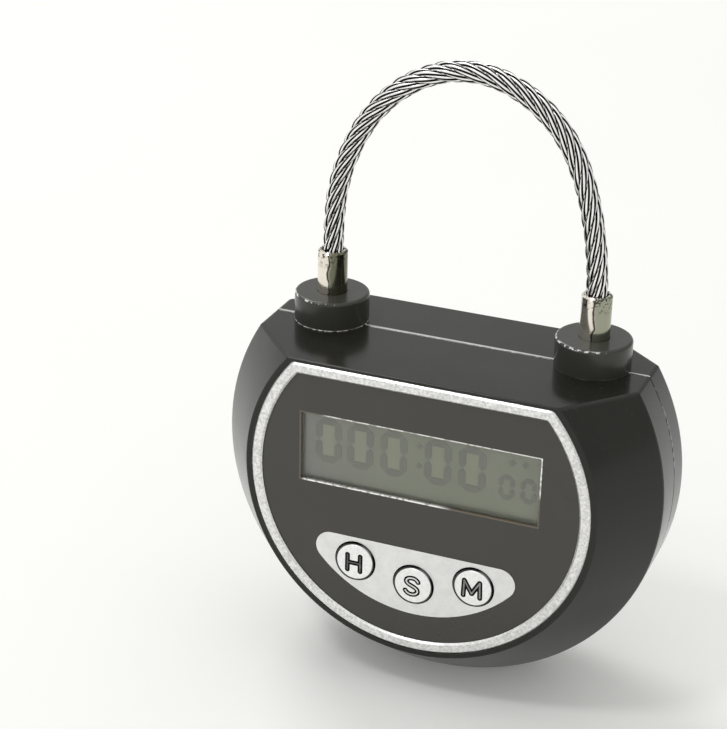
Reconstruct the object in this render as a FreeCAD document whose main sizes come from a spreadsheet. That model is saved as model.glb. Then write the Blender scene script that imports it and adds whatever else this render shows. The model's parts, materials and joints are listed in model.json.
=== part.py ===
import FreeCAD, Part
import math
import os
import re

import Sketcher
from FreeCAD import Placement, Rotation, Vector

# Timed lock: a round case with a flat top, a display and three keys in front, and a wire
# rope shackle.  One end of the rope is anchored; the other ends in a plug whose grooved pin
# goes into the case, where a motor and a lead screw push a bolt into the groove.
#
# Frame: X to the viewer's right, Y from the front to the back, Z up.  The origin is on the
# bottom of the case, half way through its depth.  Inside this file a place is given as
# (x, depth, rise): depth is behind the rim of the front, rise is above the case's centre.

SIZES = [
    # The case
    ("body_radius", 32.0, "largest radius of the case"),
    ("front_radius", 25.4, "radius of the front edge"),
    ("back_radius", 25.4, "radius of the back edge"),
    ("body_depth", 25.6, "front rim to back face"),
    ("flare_depth", 9.1, "depth over which the front flares out"),
    ("bevel_depth", 6.6, "depth over which the back tapers in"),
    ("top_rise", 16.65, "flat top above the case's centre"),
    ("parting_depth", 14.5, "joint between the two shells"),
    ("shackle_depth", 15.2, "plane of the shackle and the lock"),
    ("wall", 1.8, "shell wall"),
    ("edge_round", 0.6, "rounding of the outer edges"),
    ("rim_round", 0.25, "rounding of the front rim"),
    ("seam_chamfer", 0.15, "bevel along the joint of the shells"),
    ("slip", 0.05, "gap between pieces that fit together"),
    # Front: ring, face plate, display
    ("ring_radius", 24.56, "outer radius of the bezel ring"),
    ("ring_rise", 16.14, "top of the bezel ring above the centre"),
    ("ring_width", 1.55, "visible width of the bezel ring"),
    ("ring_corner", 0.9, "rounding of the ring's two corners"),
    ("ring_proud", 0.2, "ring stands in front of the rim"),
    ("ring_seat", 1.6, "depth of the recess for ring and face plate"),
    ("ring_bevel", 0.25, "bevel of the ring's front edges"),
    ("ledge", 1.4, "wall behind the recess"),
    ("plate_setback", 0.2, "face plate behind the rim"),
    ("plate_lip", 0.35, "face plate in front of the window pane"),
    ("display_width", 34.85, "window in the face plate"),
    ("display_height", 10.5, "window in the face plate"),
    ("display_rise", 3.7, "middle of the window above the centre"),
    ("pane_margin", 0.9, "pane hidden behind the plate on each side"),
    ("glass_width", 38.0, "display cell"),
    ("glass_height", 13.4, "display cell"),
    ("glass_thick", 2.0, "display cell"),
    ("strip_width", 1.8, "contact strip"),
    ("strip_inset", 0.5, "contact strip from the cell's edge"),
    ("strip_end", 1.4, "holder beyond the end of a contact strip"),
    ("holder_rim", 0.3, "display holder beyond the display cell"),
    ("reflector", 1.0, "holder's floor behind the display cell"),
    ("holder_rib", 1.2, "holder between a contact strip and its hollow"),
    # Keys
    ("panel_radius", 18.97, "lower edge of the key panel, about the case's centre"),
    ("panel_drop", 8.87, "upper edge of the key panel below the centre"),
    ("panel_corner", 2.3, "rounding of the key panel's ends"),
    ("panel_setback", 0.1, "key panel behind the rim"),
    ("key_radius", 2.85, "key cap"),
    ("key_gap", 0.2, "gap round a key cap"),
    ("key_proud", 0.45, "key in front of the rim"),
    ("key_travel", 0.5, "how far a key goes in"),
    ("key_round", 0.3, "rounding of a key's front edge"),
    ("key_spread", 8.72, "outer keys from the middle"),
    ("key_drop", 12.57, "outer keys below the centre"),
    ("middle_drop", 14.26, "middle key below the centre"),
    ("key_flange_radius", 3.4, "flange behind the key panel"),
    ("key_flange", 0.7, "thickness of that flange"),
    ("flange_gap", 0.3, "gap round that flange in the front shell"),
    ("key_stem_radius", 1.5, "key stem"),
    ("switch_width", 6.0, "push switch"),
    ("switch_height", 3.5, "push switch"),
    ("plunger_radius", 1.7, "push switch plunger"),
    ("plunger_reach", 1.0, "plunger in front of its switch"),
    ("plunger_tail", 0.7, "plunger inside its switch"),
    # Circuit board
    ("board_depth", 8.8, "front of the circuit board"),
    ("board_thick", 1.2, "circuit board"),
    ("board_radius", 24.5, "circuit board"),
    ("board_rise", 13.5, "top edge of the circuit board"),
    ("board_corner", 2.0, "corners of the circuit board"),
    ("tab_reach", 28.0, "board tab that carries the charging socket"),
    ("tab_height", 10.0, "board tab"),
    ("port_width", 7.5, "charging socket"),
    ("port_thick", 2.6, "charging socket"),
    ("port_length", 5.3, "charging socket"),
    ("port_reach", 30.9, "mouth of the charging socket from the middle"),
    ("port_shell", 0.35, "sheet of the charging socket"),
    ("port_margin", 0.3, "gap round the charging socket in the shell"),
    ("port_floor", 1.3, "closed end of the charging socket"),
    ("tongue_thick", 0.6, "tongue of the charging socket"),
    ("tongue_inset", 1.2, "tongue of the charging socket from its side and mouth"),
    ("chip_width", 7.0, "controller chip"),
    ("chip_thick", 0.9, "controller chip"),
    ("chip_across", 6.0, "controller chip from the middle"),
    ("chip_drop", 4.5, "controller chip below the centre"),
    ("crystal_radius", 1.0, "clock crystal"),
    ("crystal_length", 6.0, "clock crystal"),
    ("crystal_drop", 6.0, "clock crystal below the centre"),
    # Battery
    ("cell_width", 22.0, "battery cell"),
    ("cell_height", 18.0, "battery cell"),
    ("cell_thick", 5.0, "battery cell"),
    ("cell_drop", 13.0, "middle of the battery cell below the centre"),
    ("pad_thick", 1.0, "adhesive foam pad of the battery"),
    ("pad_inset", 3.0, "that pad inside the cell's outline"),
    # Screws of the case
    ("upper_screw_spread", 21.3, "upper case screws from the middle"),
    ("upper_screw_drop", 4.6, "upper case screws below the centre"),
    ("lower_screw_spread", 14.0, "lower case screws from the middle"),
    ("lower_screw_drop", 16.7, "lower case screws below the centre"),
    ("post_radius", 2.8, "screw post of the back shell"),
    ("front_post_radius", 2.1, "screw post of the front shell"),
    ("thread_radius", 1.0, "screw shank"),
    ("thread_bite", 4.0, "screw shank in the front post"),
    ("screw_way", 1.15, "clearance hole of a screw"),
    ("head_radius", 2.0, "case screw head"),
    ("head_height", 1.4, "case screw head"),
    ("head_recess", 2.6, "depth of the recess for a case screw head"),
    ("drive_radius", 1.0, "cross recess of a screw"),
    ("drive_depth", 0.8, "cross recess of a screw"),
    ("drive_width", 0.45, "cross recess of a screw"),
    # Locating lip of the back shell
    ("lip_thick", 0.8, "locating lip"),
    ("lip_reach", 1.2, "locating lip in front of the joint"),
    ("lip_root", 1.5, "foot of the locating lip behind the joint"),
    ("lip_drop", 8.0, "ends of the locating lip below the centre"),
    # Shackle ends
    ("pin_spread", 19.15, "rope ends from the middle"),
    ("cap_radius", 5.28, "round cap at a rope end"),
    ("cap_height", 4.2, "round cap at a rope end"),
    ("cap_round", 0.45, "rounding of a cap's upper edge"),
    ("cap_web", 1.0, "floor of a cap under its ferrule"),
    ("plug_gap", 0.15, "gap under the plug's cap"),
    ("ferrule_radius", 2.1, "ferrule"),
    ("ferrule_rise", 10.4, "top of a ferrule above the case's flat top"),
    ("ferrule_lip", 0.25, "bevel at the mouth of a ferrule"),
    ("rope_hold", 4.0, "rope inside its ferrule"),
    ("rope_radius", 1.5, "wire rope"),
    ("spigot_radius", 1.2, "spigot of a pin inside its ferrule"),
    ("spigot_hold", 2.4, "spigot above the cap's floor"),
    ("pin_radius", 2.5, "plug pin and anchor stem"),
    ("pin_length", 12.0, "plug pin below the flat top"),
    ("pin_nose", 0.9, "bevel of the pin's tip"),
    ("groove_radius", 1.1, "lock groove of the plug pin"),
    ("groove_height", 2.2, "lock groove of the plug pin"),
    ("plug_travel", 13.0, "how far the plug is drawn out"),
    ("bush_radius", 3.1, "steel bush in the plug's hole"),
    ("bush_length", 3.8, "steel bush in the plug's hole"),
    ("stem_length", 7.2, "anchor stem below the flat top"),
    ("flange_radius", 3.6, "anchor stem flange"),
    ("flange_thick", 1.5, "anchor stem flange"),
    ("flange_lift", 1.2, "anchor stem flange above the stem's foot"),
    ("keeper_width", 9.3, "block in the shells that holds the anchor stem"),
    ("keeper_depth", 8.4, "block in the shells that holds the anchor stem"),
    ("keeper_floor", 0.9, "block below the anchor stem"),
    # Lock mechanism
    ("latch_rise", 8.0, "axis of the bolt, screw and motor above the centre"),
    ("latch_travel", 1.5, "how far the bolt moves"),
    ("latch_clear", 0.25, "drawn-back bolt from the pin"),
    ("nose_height", 1.8, "bolt nose"),
    ("nose_depth", 3.0, "bolt nose"),
    ("nose_length", 3.0, "bolt nose"),
    ("slider_height", 5.0, "bolt slider"),
    ("slider_length", 5.5, "bolt slider"),
    ("slider_skin", 0.7, "end of the threaded hole from the slider's front"),
    ("guide_gap", 0.1, "gap round the bolt in its guide"),
    ("guide_run", 0.2, "gap ahead of the slider when the bolt is out"),
    ("frame_thick", 6.6, "lock frame, front to back"),
    ("frame_skin", 0.8, "lock frame in front of the slider"),
    ("frame_cheek", 4.1, "lock frame beyond the pin's axis"),
    ("frame_foot", 0.9, "bottom of the lock frame above the centre"),
    ("frame_end", 0.5, "end wall of the lock frame, from the middle"),
    ("end_wall", 1.5, "end wall of the lock frame"),
    ("socket_floor", 0.6, "hole below the pin's tip"),
    ("cover_thick", 1.2, "cover of the lock frame"),
    ("frame_screw_high", 12.8, "upper frame screw above the centre"),
    ("frame_screw_near", 5.0, "upper frame screw from the middle"),
    ("frame_screw_low", 3.0, "lower frame screw above the centre"),
    ("frame_screw_far", 12.0, "lower frame screw from the middle"),
    ("small_head_radius", 1.75, "frame screw head"),
    ("small_head_height", 1.0, "frame screw head"),
    ("frame_post_radius", 2.2, "post of the back shell behind the lock frame"),
    ("frame_screw_bite", 3.0, "frame screw in its post"),
    ("screw_radius", 1.25, "lead screw over its thread"),
    ("screw_root", 1.0, "lead screw between its threads"),
    ("screw_lead", 0.5, "advance of the bolt for one turn"),
    ("screw_free", 0.3, "lead screw tip from the end of its hole"),
    ("motor_radius", 3.0, "latch motor"),
    ("motor_length", 12.0, "latch motor"),
    ("motor_boss_radius", 1.4, "bearing boss of the motor"),
    ("motor_shaft", 2.0, "lead screw inside the motor"),
    ("motor_tail", 0.8, "rear bearing of the motor"),
    ("cradle_thick", 1.5, "rib of the back shell that carries the motor"),
    ("cradle_back", 3.0, "cradle from the motor's rear end"),
    ("cradle_margin", 1.0, "cradle above and below the motor"),
    ("cradle_reach", 1.0, "front of the cradle behind the motor's axis"),
    ("buffer_inset", 2.0, "foam buffer from the motor's ends"),
    ("buffer_height", 2.4, "foam buffer between motor and board"),
]

THREADS = 20             # turns of the lead screw's thread
CREST = (0.35, 0.65)     # where a thread's crest starts and ends, as shares of the lead
TINY = 1e-4              # lengths below this count as nothing
ROOM = "1"               # a cutting tool reaches this far past the face that it opens

# Rope route as (x, rise) in the plane of the shackle, with the rise over the case's flat top:
# straight up out of the left ferrule, over in one arch and straight down into the right one.
ROPE_ROUTE = [
    (-19.15, 6.40),
    (-19.15, 12.00),
    (-18.80, 19.00),
    (-16.95, 25.25),
    (-13.85, 30.95),
    (-9.15, 35.55),
    (-3.25, 38.35),
    (3.20, 38.50),
    (9.25, 35.75),
    (13.90, 31.15),
    (16.65, 25.25),
    (18.25, 18.95),
    (19.15, 12.00),
    (19.15, 6.40),
]
ARC_SHARE = 0.45         # share of the shorter run that each bend of the rope takes up

doc = FreeCAD.newDocument("TimedLock")
sheet = doc.addObject("Spreadsheet::Sheet", "Sizes")
for row, (alias, number, note) in enumerate(SIZES, start=1):
    sheet.set(f"A{row}", note)
    sheet.set(f"B{row}", str(number))
    sheet.setAlias(f"B{row}", alias)
doc.recompute()

ALIASES = {alias for alias, number, note in SIZES}
NODES = {}


# ---------------------------------------------------------------- helpers

def bound(text):
    """Turn a formula in size names into one that the sheet's cells answer."""
    return re.sub(r"[a-z_]+", lambda word: f"Sizes.{word[0]}" if word[0] in ALIASES else word[0], text)


def size(alias):
    """Read one size as a number."""
    return float(sheet.get(alias))


def bind(feature, **formulas):
    for name, formula in formulas.items():
        feature.setExpression(name, bound(formula))


def place(feature, x="0", depth="0", rise="0"):
    """Put a piece at x, at a depth behind the rim and a rise above the case's centre."""
    feature.setExpression("Placement.Base.x", bound(x))
    feature.setExpression("Placement.Base.y", bound(f"{depth} - body_depth / 2"))
    feature.setExpression("Placement.Base.z", bound(f"{rise} + body_radius"))
    return feature


AXIS_TURN = {
    "X": Rotation(Vector(0, 1, 0), 90),
    "Y": Rotation(Vector(1, 0, 0), -90),
    "Z": Rotation(),
}


def box(name, x, depth, rise):
    """A block between three pairs of formulas."""
    block = doc.addObject("Part::Box", name)
    bind(block, Length=f"({x[1]}) - ({x[0]})")
    bind(block, Width=f"({depth[1]}) - ({depth[0]})")
    bind(block, Height=f"({rise[1]}) - ({rise[0]})")
    return place(block, x[0], depth[0], rise[0])


def rod(name, axis, radius, length, x="0", depth="0", rise="0"):
    """A cylinder that starts at the given place and runs along +axis."""
    cylinder = doc.addObject("Part::Cylinder", name)
    cylinder.Placement = Placement(Vector(), AXIS_TURN[axis])
    bind(cylinder, Radius=radius, Height=length)
    return place(cylinder, x, depth, rise)


def cone(name, radius_near, radius_far, depth):
    """A cone about the case's axis, between two depths."""
    piece = doc.addObject("Part::Cone", name)
    piece.Placement = Placement(Vector(), AXIS_TURN["Y"])
    bind(piece, Radius1=radius_near, Radius2=radius_far, Height=f"({depth[1]}) - ({depth[0]})")
    return place(piece, "0", depth[0], "0")


def fuse(name, *pieces):
    joined = doc.addObject("Part::MultiFuse", name)
    joined.Shapes = list(pieces)
    joined.Refine = True
    return joined


def common(name, *pieces):
    shared = doc.addObject("Part::MultiCommon", name)
    shared.Shapes = list(pieces)
    return shared


def cut(name, base, *tools):
    """Take one or more tools out of a base."""
    tool = tools[0] if len(tools) == 1 else fuse(name + "_tools", *tools)
    result = doc.addObject("Part::Cut", name)
    result.Base = base
    result.Tool = tool
    result.Refine = True
    return result


def new_body(name):
    return doc.addObject("PartDesign::Body", name)


def origin_plane(body, role):
    return next(item for item in body.Origin.OriginFeatures if item.Role == role)


def sketch_on(body, role, name):
    sketch = body.newObject("Sketcher::SketchObject", name)
    sketch.AttachmentSupport = [(origin_plane(body, role), "")]
    sketch.MapMode = "FlatFace"
    return sketch


def polygon(sketch, corners):
    """Close straight sides through corners, each a pair of formulas from the sketch's origin."""
    start = sketch.GeometryCount
    count = len(corners)
    spots = [Vector(step + 1, (step + 1) ** 2, 0) for step in range(count)]
    for step in range(count):
        sketch.addGeometry(Part.LineSegment(spots[step], spots[(step + 1) % count]), False)
    for step in range(count):
        following = start + (step + 1) % count
        sketch.addConstraint(Sketcher.Constraint("Coincident", start + step, 2, following, 1))
    for step, (across, up) in enumerate(corners):
        for kind, formula, spot in (("DistanceX", across, spots[step].x), ("DistanceY", up, spots[step].y)):
            index = sketch.addConstraint(Sketcher.Constraint(kind, -1, 1, start + step, 1, spot))
            sketch.setExpression(f"Constraints[{index}]", bound(formula))


def circle(sketch, radius, across="0", up="0"):
    index = sketch.addGeometry(Part.Circle(Vector(1, 1, 0), Vector(0, 0, 1), 1), False)
    for kind, formula in (("DistanceX", across), ("DistanceY", up)):
        number = sketch.addConstraint(Sketcher.Constraint(kind, -1, 1, index, 3, 1))
        sketch.setExpression(f"Constraints[{number}]", bound(formula))
    number = sketch.addConstraint(Sketcher.Constraint("Radius", index, 1))
    sketch.setExpression(f"Constraints[{number}]", bound(radius))


def turned(name, axis, corners, x="0", depth="0", rise="0"):
    """A turned piece: corners are pairs of (distance along the axis, radius)."""
    body = new_body(name)
    sketch = sketch_on(body, "YZ_Plane" if axis == "Y" else "XZ_Plane", name + "_outline")
    if axis == "Z":
        corners = [(radius, along) for along, radius in corners]
    polygon(sketch, corners)
    turn = body.newObject("PartDesign::Revolution", name + "_turn")
    turn.Profile = sketch
    turn.ReferenceAxis = (sketch, ["V_Axis" if axis == "Z" else "H_Axis"])
    turn.Angle = 360
    return place(body, x, depth, rise)


def edges_where(shape, test):
    """Names of the edges of which every point passes the test."""
    names = []
    for number, edge in enumerate(shape.Edges, start=1):
        if all(test(point) for point in edge.discretize(5)):
            names.append(f"Edge{number}")
    return names


def dress(body, kind, names, **formulas):
    """Add a Fillet or Chamfer to a body's tip, on the named edges."""
    tip = body.Tip
    feature = body.newObject(f"PartDesign::{kind}", f"{body.Name}_{kind}")
    feature.Base = (tip, names)
    bind(feature, **formulas)
    doc.recompute()
    return feature


def dee(name, radius, chord, thick, corner, depth):
    """A flat plate about the case's axis: the part of a disc under a chord, its corners rounded."""
    body = new_body(name)
    disc = sketch_on(body, "XZ_Plane", name + "_disc")
    circle(disc, radius)
    slab = body.newObject("PartDesign::Pad", name + "_slab")
    slab.Profile = disc
    slab.Reversed = True
    bind(slab, Length=thick)
    top = sketch_on(body, "XZ_Plane", name + "_top")
    far = f"2 * ({radius})"
    polygon(top, [(f"-{far}", chord), (far, chord), (far, far), (f"-{far}", far)])
    trim = body.newObject("PartDesign::Pocket", name + "_trim")
    trim.Profile = top
    trim.Type = "ThroughAll"
    trim.Midplane = True
    doc.recompute()
    highest = body.Tip.Shape.BoundBox.ZMax
    corners = [
        f"Edge{number}"
        for number, edge in enumerate(body.Tip.Shape.Edges, start=1)
        if edge.BoundBox.ZMin > highest - TINY and edge.BoundBox.XLength < TINY
    ]
    dress(body, "Fillet", corners, Radius=corner)
    return place(body, "0", depth, "0")


def node(name, feature):
    """Name a finished piece: its Label is its file's name."""
    feature.Label = name
    NODES[name] = feature
    return feature


# ---------------------------------------------------------------- the two shells

FLARE_SLOPE = "((body_radius - front_radius) / flare_depth)"
FLARE_WALL = f"(wall * sqrt(1 + {FLARE_SLOPE} ^ 2))"
BEVEL_SLOPE = "((body_radius - back_radius) / bevel_depth)"
BEVEL_WALL = f"(wall * sqrt(1 + {BEVEL_SLOPE} ^ 2))"
FRONT_WALL = "(ring_seat + ledge)"
BACK_WALL = "(body_depth - wall)"
CEILING = "(top_rise - wall)"
BOARD_BACK = "(board_depth + board_thick)"
SCREW_SPOTS = [
    ("upper_left", "-upper_screw_spread", "-upper_screw_drop"),
    ("upper_right", "upper_screw_spread", "-upper_screw_drop"),
    ("lower_left", "-lower_screw_spread", "-lower_screw_drop"),
    ("lower_right", "lower_screw_spread", "-lower_screw_drop"),
]
KEY_SPOTS = [
    ("hour", "-key_spread", "-key_drop"),
    ("set", "0", "-middle_drop"),
    ("minute", "key_spread", "-key_drop"),
]
HEAD_SEAT = "(body_depth - head_recess)"
FRAME_FRONT = "(shackle_depth - frame_thick / 2)"
FRAME_BACK = "(shackle_depth + frame_thick / 2)"
COVER_BACK = f"({FRAME_BACK} + cover_thick)"
FRAME_SCREW_SPOTS = [
    ("upper", "-frame_screw_near", "frame_screw_high"),
    ("lower", "-frame_screw_far", "frame_screw_low"),
]
MOTOR_END = "(frame_end + motor_length)"
KEEPER_FOOT = "(top_rise - stem_length - keeper_floor)"
FLANGE_FOOT = "(top_rise - stem_length + flange_lift)"


def edges_apart_from(shape, depths):
    """Names of the edges that lie in none of the planes at these depths."""
    taken = {name for depth in depths for name in edges_at_depth(shape, depth)}
    return [f"Edge{number}" for number in range(1, len(shape.Edges) + 1) if f"Edge{number}" not in taken]


def edges_at_depth(shape, depth):
    """Names of the edges that lie in the plane at this depth."""
    return edges_where(shape, lambda point: abs(point.y - depth) < TINY)


def shell_solid(name, corners, face_depth, face_round):
    """One shell as a full solid: turned about the case's axis, cut flat on top, edges dressed."""
    body = turned(name, "Y", corners)
    top = sketch_on(body, "XZ_Plane", name + "_top")
    far = "2 * body_radius"
    polygon(top, [(f"-{far}", "top_rise"), (far, "top_rise"), (far, far), (f"-{far}", far)])
    trim = body.newObject("PartDesign::Pocket", name + "_trim")
    trim.Profile = top
    trim.Type = "ThroughAll"
    trim.Midplane = True
    doc.recompute()
    seam = size("parting_depth")
    soft = edges_apart_from(body.Tip.Shape, [seam, face_depth])
    dress(body, "Fillet", soft, Radius="edge_round")
    dress(body, "Fillet", edges_at_depth(body.Tip.Shape, face_depth), Radius=face_round)
    dress(body, "Chamfer", edges_at_depth(body.Tip.Shape, seam), Size="seam_chamfer")
    return body


def cavity(name, radius_near, radius_far, depth):
    """The hollow of one shell: a cone, no wider than the band and no higher than the ceiling."""
    return common(
        name,
        cone(name + "_taper", radius_near, radius_far, depth),
        rod(name + "_band", "Y", "body_radius - wall", f"({depth[1]}) - ({depth[0]})", depth=depth[0]),
        box(name + "_ceiling", ("-body_radius", "body_radius"), depth, ("-body_radius", CEILING)),
    )


def keeper(name, depth):
    """Half of the block that traps the anchor stem under the flat top."""
    across = ("pin_spread - keeper_width / 2", "pin_spread + keeper_width / 2")
    return box(name, across, depth, (KEEPER_FOOT, f"{CEILING} + wall / 2"))


def stem_room(name):
    """What the anchor stem needs out of the shells: its shank and its flange."""
    return fuse(
        name,
        rod(name + "_shank", "Z", "pin_radius + slip", f"stem_length + slip + {ROOM}",
            "pin_spread", "shackle_depth", "top_rise - stem_length - slip"),
        rod(name + "_flange", "Z", "flange_radius + slip", "flange_thick + 2 * slip",
            "pin_spread", "shackle_depth", f"{FLANGE_FOOT} - slip"),
    )


def bush_room(name, foot):
    """The hole for the steel bush, from a foot up through the flat top."""
    return rod(name, "Z", "bush_radius + slip", f"top_rise - ({foot}) + {ROOM}",
               "-pin_spread", "shackle_depth", foot)


def front_shell():
    solid = shell_solid(
        "front_solid",
        [("0", "0"), ("0", "front_radius"), ("flare_depth", "body_radius"),
         ("parting_depth", "body_radius"), ("parting_depth", "0")],
        0.0,
        "rim_round",
    )
    seam = f"(parting_depth + {ROOM})"
    hollow = cavity(
        "front_hollow",
        f"front_radius - {FLARE_WALL} + {FLARE_SLOPE} * {FRONT_WALL}",
        f"front_radius - {FLARE_WALL} + {FLARE_SLOPE} * {seam}",
        (FRONT_WALL, seam),
    )
    posts = [
        rod(f"front_post_{name}", "Y", "front_post_radius", f"board_depth - {FRONT_WALL} + ledge / 2",
            x, f"{FRONT_WALL} - ledge / 2", rise)
        for name, x, rise in SCREW_SPOTS
    ]
    holder = keeper("front_keeper", ("shackle_depth - keeper_depth / 2", "parting_depth"))
    walls = fuse("front_walls", cut("front_case", solid, hollow), holder, *posts)
    threads = [
        rod(f"front_thread_{name}", "Y", "thread_radius + slip", f"thread_bite + slip + {ROOM}",
            x, "board_depth - thread_bite - slip", rise)
        for name, x, rise in SCREW_SPOTS
    ]
    key_ways = [
        rod(f"key_way_{name}", "Y", "key_flange_radius + flange_gap", f"ledge + 2 * {ROOM}",
            x, f"ring_seat - {ROOM}", rise)
        for name, x, rise in KEY_SPOTS
    ]
    recess = dee("face_recess", "ring_radius + slip", "ring_rise + slip", f"ring_seat + {ROOM}",
                 "ring_corner + slip", f"-{ROOM}")
    half_width = "(glass_width / 2 + slip)"
    half_height = "(glass_height / 2 + slip)"
    glass_way = box(
        "glass_way",
        (f"-{half_width}", half_width),
        (f"ring_seat - {ROOM}", f"{FRONT_WALL} + {ROOM}"),
        (f"display_rise - {half_height}", f"display_rise + {half_height}"),
    )
    half_port = "(port_width / 2 + port_margin)"
    port_way = box(
        "port_way",
        (f"-body_radius - {ROOM}", "wall - body_radius + port_margin"),
        (f"{BOARD_BACK} - port_margin", f"{BOARD_BACK} + port_thick + port_margin"),
        (f"-{half_port}", half_port),
    )
    pin_way = bush_room("front_pin_way", f"{CEILING} - {ROOM}")
    node("front_shell", cut("front_shell", walls, recess, glass_way, port_way, pin_way,
                            stem_room("front_stem_room"), *threads, *key_ways))


def locating_lip():
    """A lip round the lower half of the back shell that goes inside the front shell."""
    inner = "(body_radius - wall - slip - lip_thick)"
    ring = fuse(
        "lip_ring",
        rod("lip_nose", "Y", "body_radius - wall - slip", f"lip_reach + {ROOM} / 2",
            depth="parting_depth - lip_reach"),
        rod("lip_root", "Y", "body_radius - wall / 2", "lip_root", depth="parting_depth"),
    )
    bore = rod("lip_bore", "Y", inner, f"lip_reach + lip_root + 2 * {ROOM}",
               depth=f"parting_depth - lip_reach - {ROOM}")
    lower = box(
        "lip_lower",
        ("-body_radius", "body_radius"),
        ("parting_depth - lip_reach", "parting_depth + lip_root"),
        ("-body_radius", "-lip_drop"),
    )
    return common("locating_lip", cut("lip_band", ring, bore), lower)


def motor_cradle():
    end = f"({MOTOR_END} - cradle_back)"
    half = "(motor_radius + cradle_margin)"
    rib = box(
        "cradle_rib",
        (f"{end} - cradle_thick", end),
        ("shackle_depth + cradle_reach", f"{BACK_WALL} + wall / 2"),
        (f"latch_rise - {half}", f"latch_rise + {half}"),
    )
    seat = rod("cradle_seat", "X", "motor_radius", "motor_length", "frame_end", "shackle_depth",
               "latch_rise")
    return cut("motor_cradle", rib, seat)


def back_shell():
    solid = shell_solid(
        "back_solid",
        [("body_depth", "0"), ("body_depth", "back_radius"), ("body_depth - bevel_depth", "body_radius"),
         ("parting_depth", "body_radius"), ("parting_depth", "0")],
        size("body_depth"),
        "edge_round",
    )
    seam = f"(parting_depth - {ROOM})"
    hollow = cavity(
        "back_hollow",
        f"back_radius - {BEVEL_WALL} + {BEVEL_SLOPE} * (body_depth - {seam})",
        f"back_radius - {BEVEL_WALL} + {BEVEL_SLOPE} * wall",
        (seam, BACK_WALL),
    )
    posts = [
        rod(f"back_post_{name}", "Y", "post_radius", f"{BACK_WALL} + wall / 2 - {BOARD_BACK}",
            x, BOARD_BACK, rise)
        for name, x, rise in SCREW_SPOTS
    ]
    frame_posts = [
        rod(f"frame_post_{name}", "Y", "frame_post_radius", f"{BACK_WALL} + wall / 2 - {COVER_BACK}",
            x, COVER_BACK, rise)
        for name, x, rise in FRAME_SCREW_SPOTS
    ]
    holder = keeper("back_keeper", ("parting_depth", "shackle_depth + keeper_depth / 2"))
    walls = fuse("back_walls", cut("back_case", solid, hollow), holder, locating_lip(), motor_cradle(),
                 *posts, *frame_posts)
    ways = [
        rod(f"screw_way_{name}", "Y", "screw_way", "body_depth", x, f"{BOARD_BACK} - {ROOM}", rise)
        for name, x, rise in SCREW_SPOTS
    ]
    recesses = [
        rod(f"head_recess_{name}", "Y", "head_radius + port_margin", f"head_recess + {ROOM}",
            x, HEAD_SEAT, rise)
        for name, x, rise in SCREW_SPOTS
    ]
    threads = [
        rod(f"frame_thread_{name}", "Y", "thread_radius + slip", f"frame_screw_bite + slip + {ROOM}",
            x, f"{COVER_BACK} - {ROOM}", rise)
        for name, x, rise in FRAME_SCREW_SPOTS
    ]
    pin_way = bush_room("back_pin_way", f"{CEILING} - {ROOM}")
    node("back_shell", cut("back_shell", walls, pin_way, stem_room("back_stem_room"),
                           *ways, *recesses, *threads))


# ---------------------------------------------------------------- front: ring, plate, display

PLATE_THICK = "(ring_seat - plate_setback)"
PANE_FRONT = "(plate_setback + plate_lip)"
GLASS_BACK = "(ring_seat + glass_thick)"


def window(name, margin, depth):
    """A block on the display's middle, its sides a margin outside the visible window."""
    half_width = f"(display_width / 2 + {margin})"
    half_height = f"(display_height / 2 + {margin})"
    return box(name, (f"-{half_width}", half_width), depth,
               (f"display_rise - {half_height}", f"display_rise + {half_height}"))


def bezel_ring():
    outer = dee("ring_outer", "ring_radius", "ring_rise", "ring_seat + ring_proud", "ring_corner",
                "-ring_proud")
    inner = dee("ring_inner", "ring_radius - ring_width", "ring_rise - ring_width",
                f"ring_seat + ring_proud + 2 * {ROOM}", "ring_corner / 2", f"-ring_proud - {ROOM}")
    ring = cut("ring_plain", outer, inner)
    doc.recompute()
    front = -size("ring_proud") - size("body_depth") / 2
    bevel = doc.addObject("Part::Chamfer", "bezel_ring")
    bevel.Base = ring
    width = size("ring_bevel")
    names = edges_at_depth(ring.Shape, front)
    bevel.Edges = [(int(name[len("Edge"):]), width, width) for name in names]
    node("bezel_ring", bevel)


def face_plate():
    plate = dee("plate_slab", "ring_radius - ring_width - slip", "ring_rise - ring_width - slip",
                PLATE_THICK, "ring_corner / 2", "plate_setback")
    panel_way = dee("panel_way", "panel_radius + slip", "slip - panel_drop", f"ring_seat + 2 * {ROOM}",
                    "panel_corner + slip", f"-{ROOM}")
    opening = window("window_opening", "0", (f"-{ROOM}", f"ring_seat + {ROOM}"))
    pocket = window("pane_pocket", "(pane_margin + slip)", (PANE_FRONT, f"ring_seat + {ROOM}"))
    node("face_plate", cut("face_plate", plate, panel_way, opening, pocket))


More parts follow.
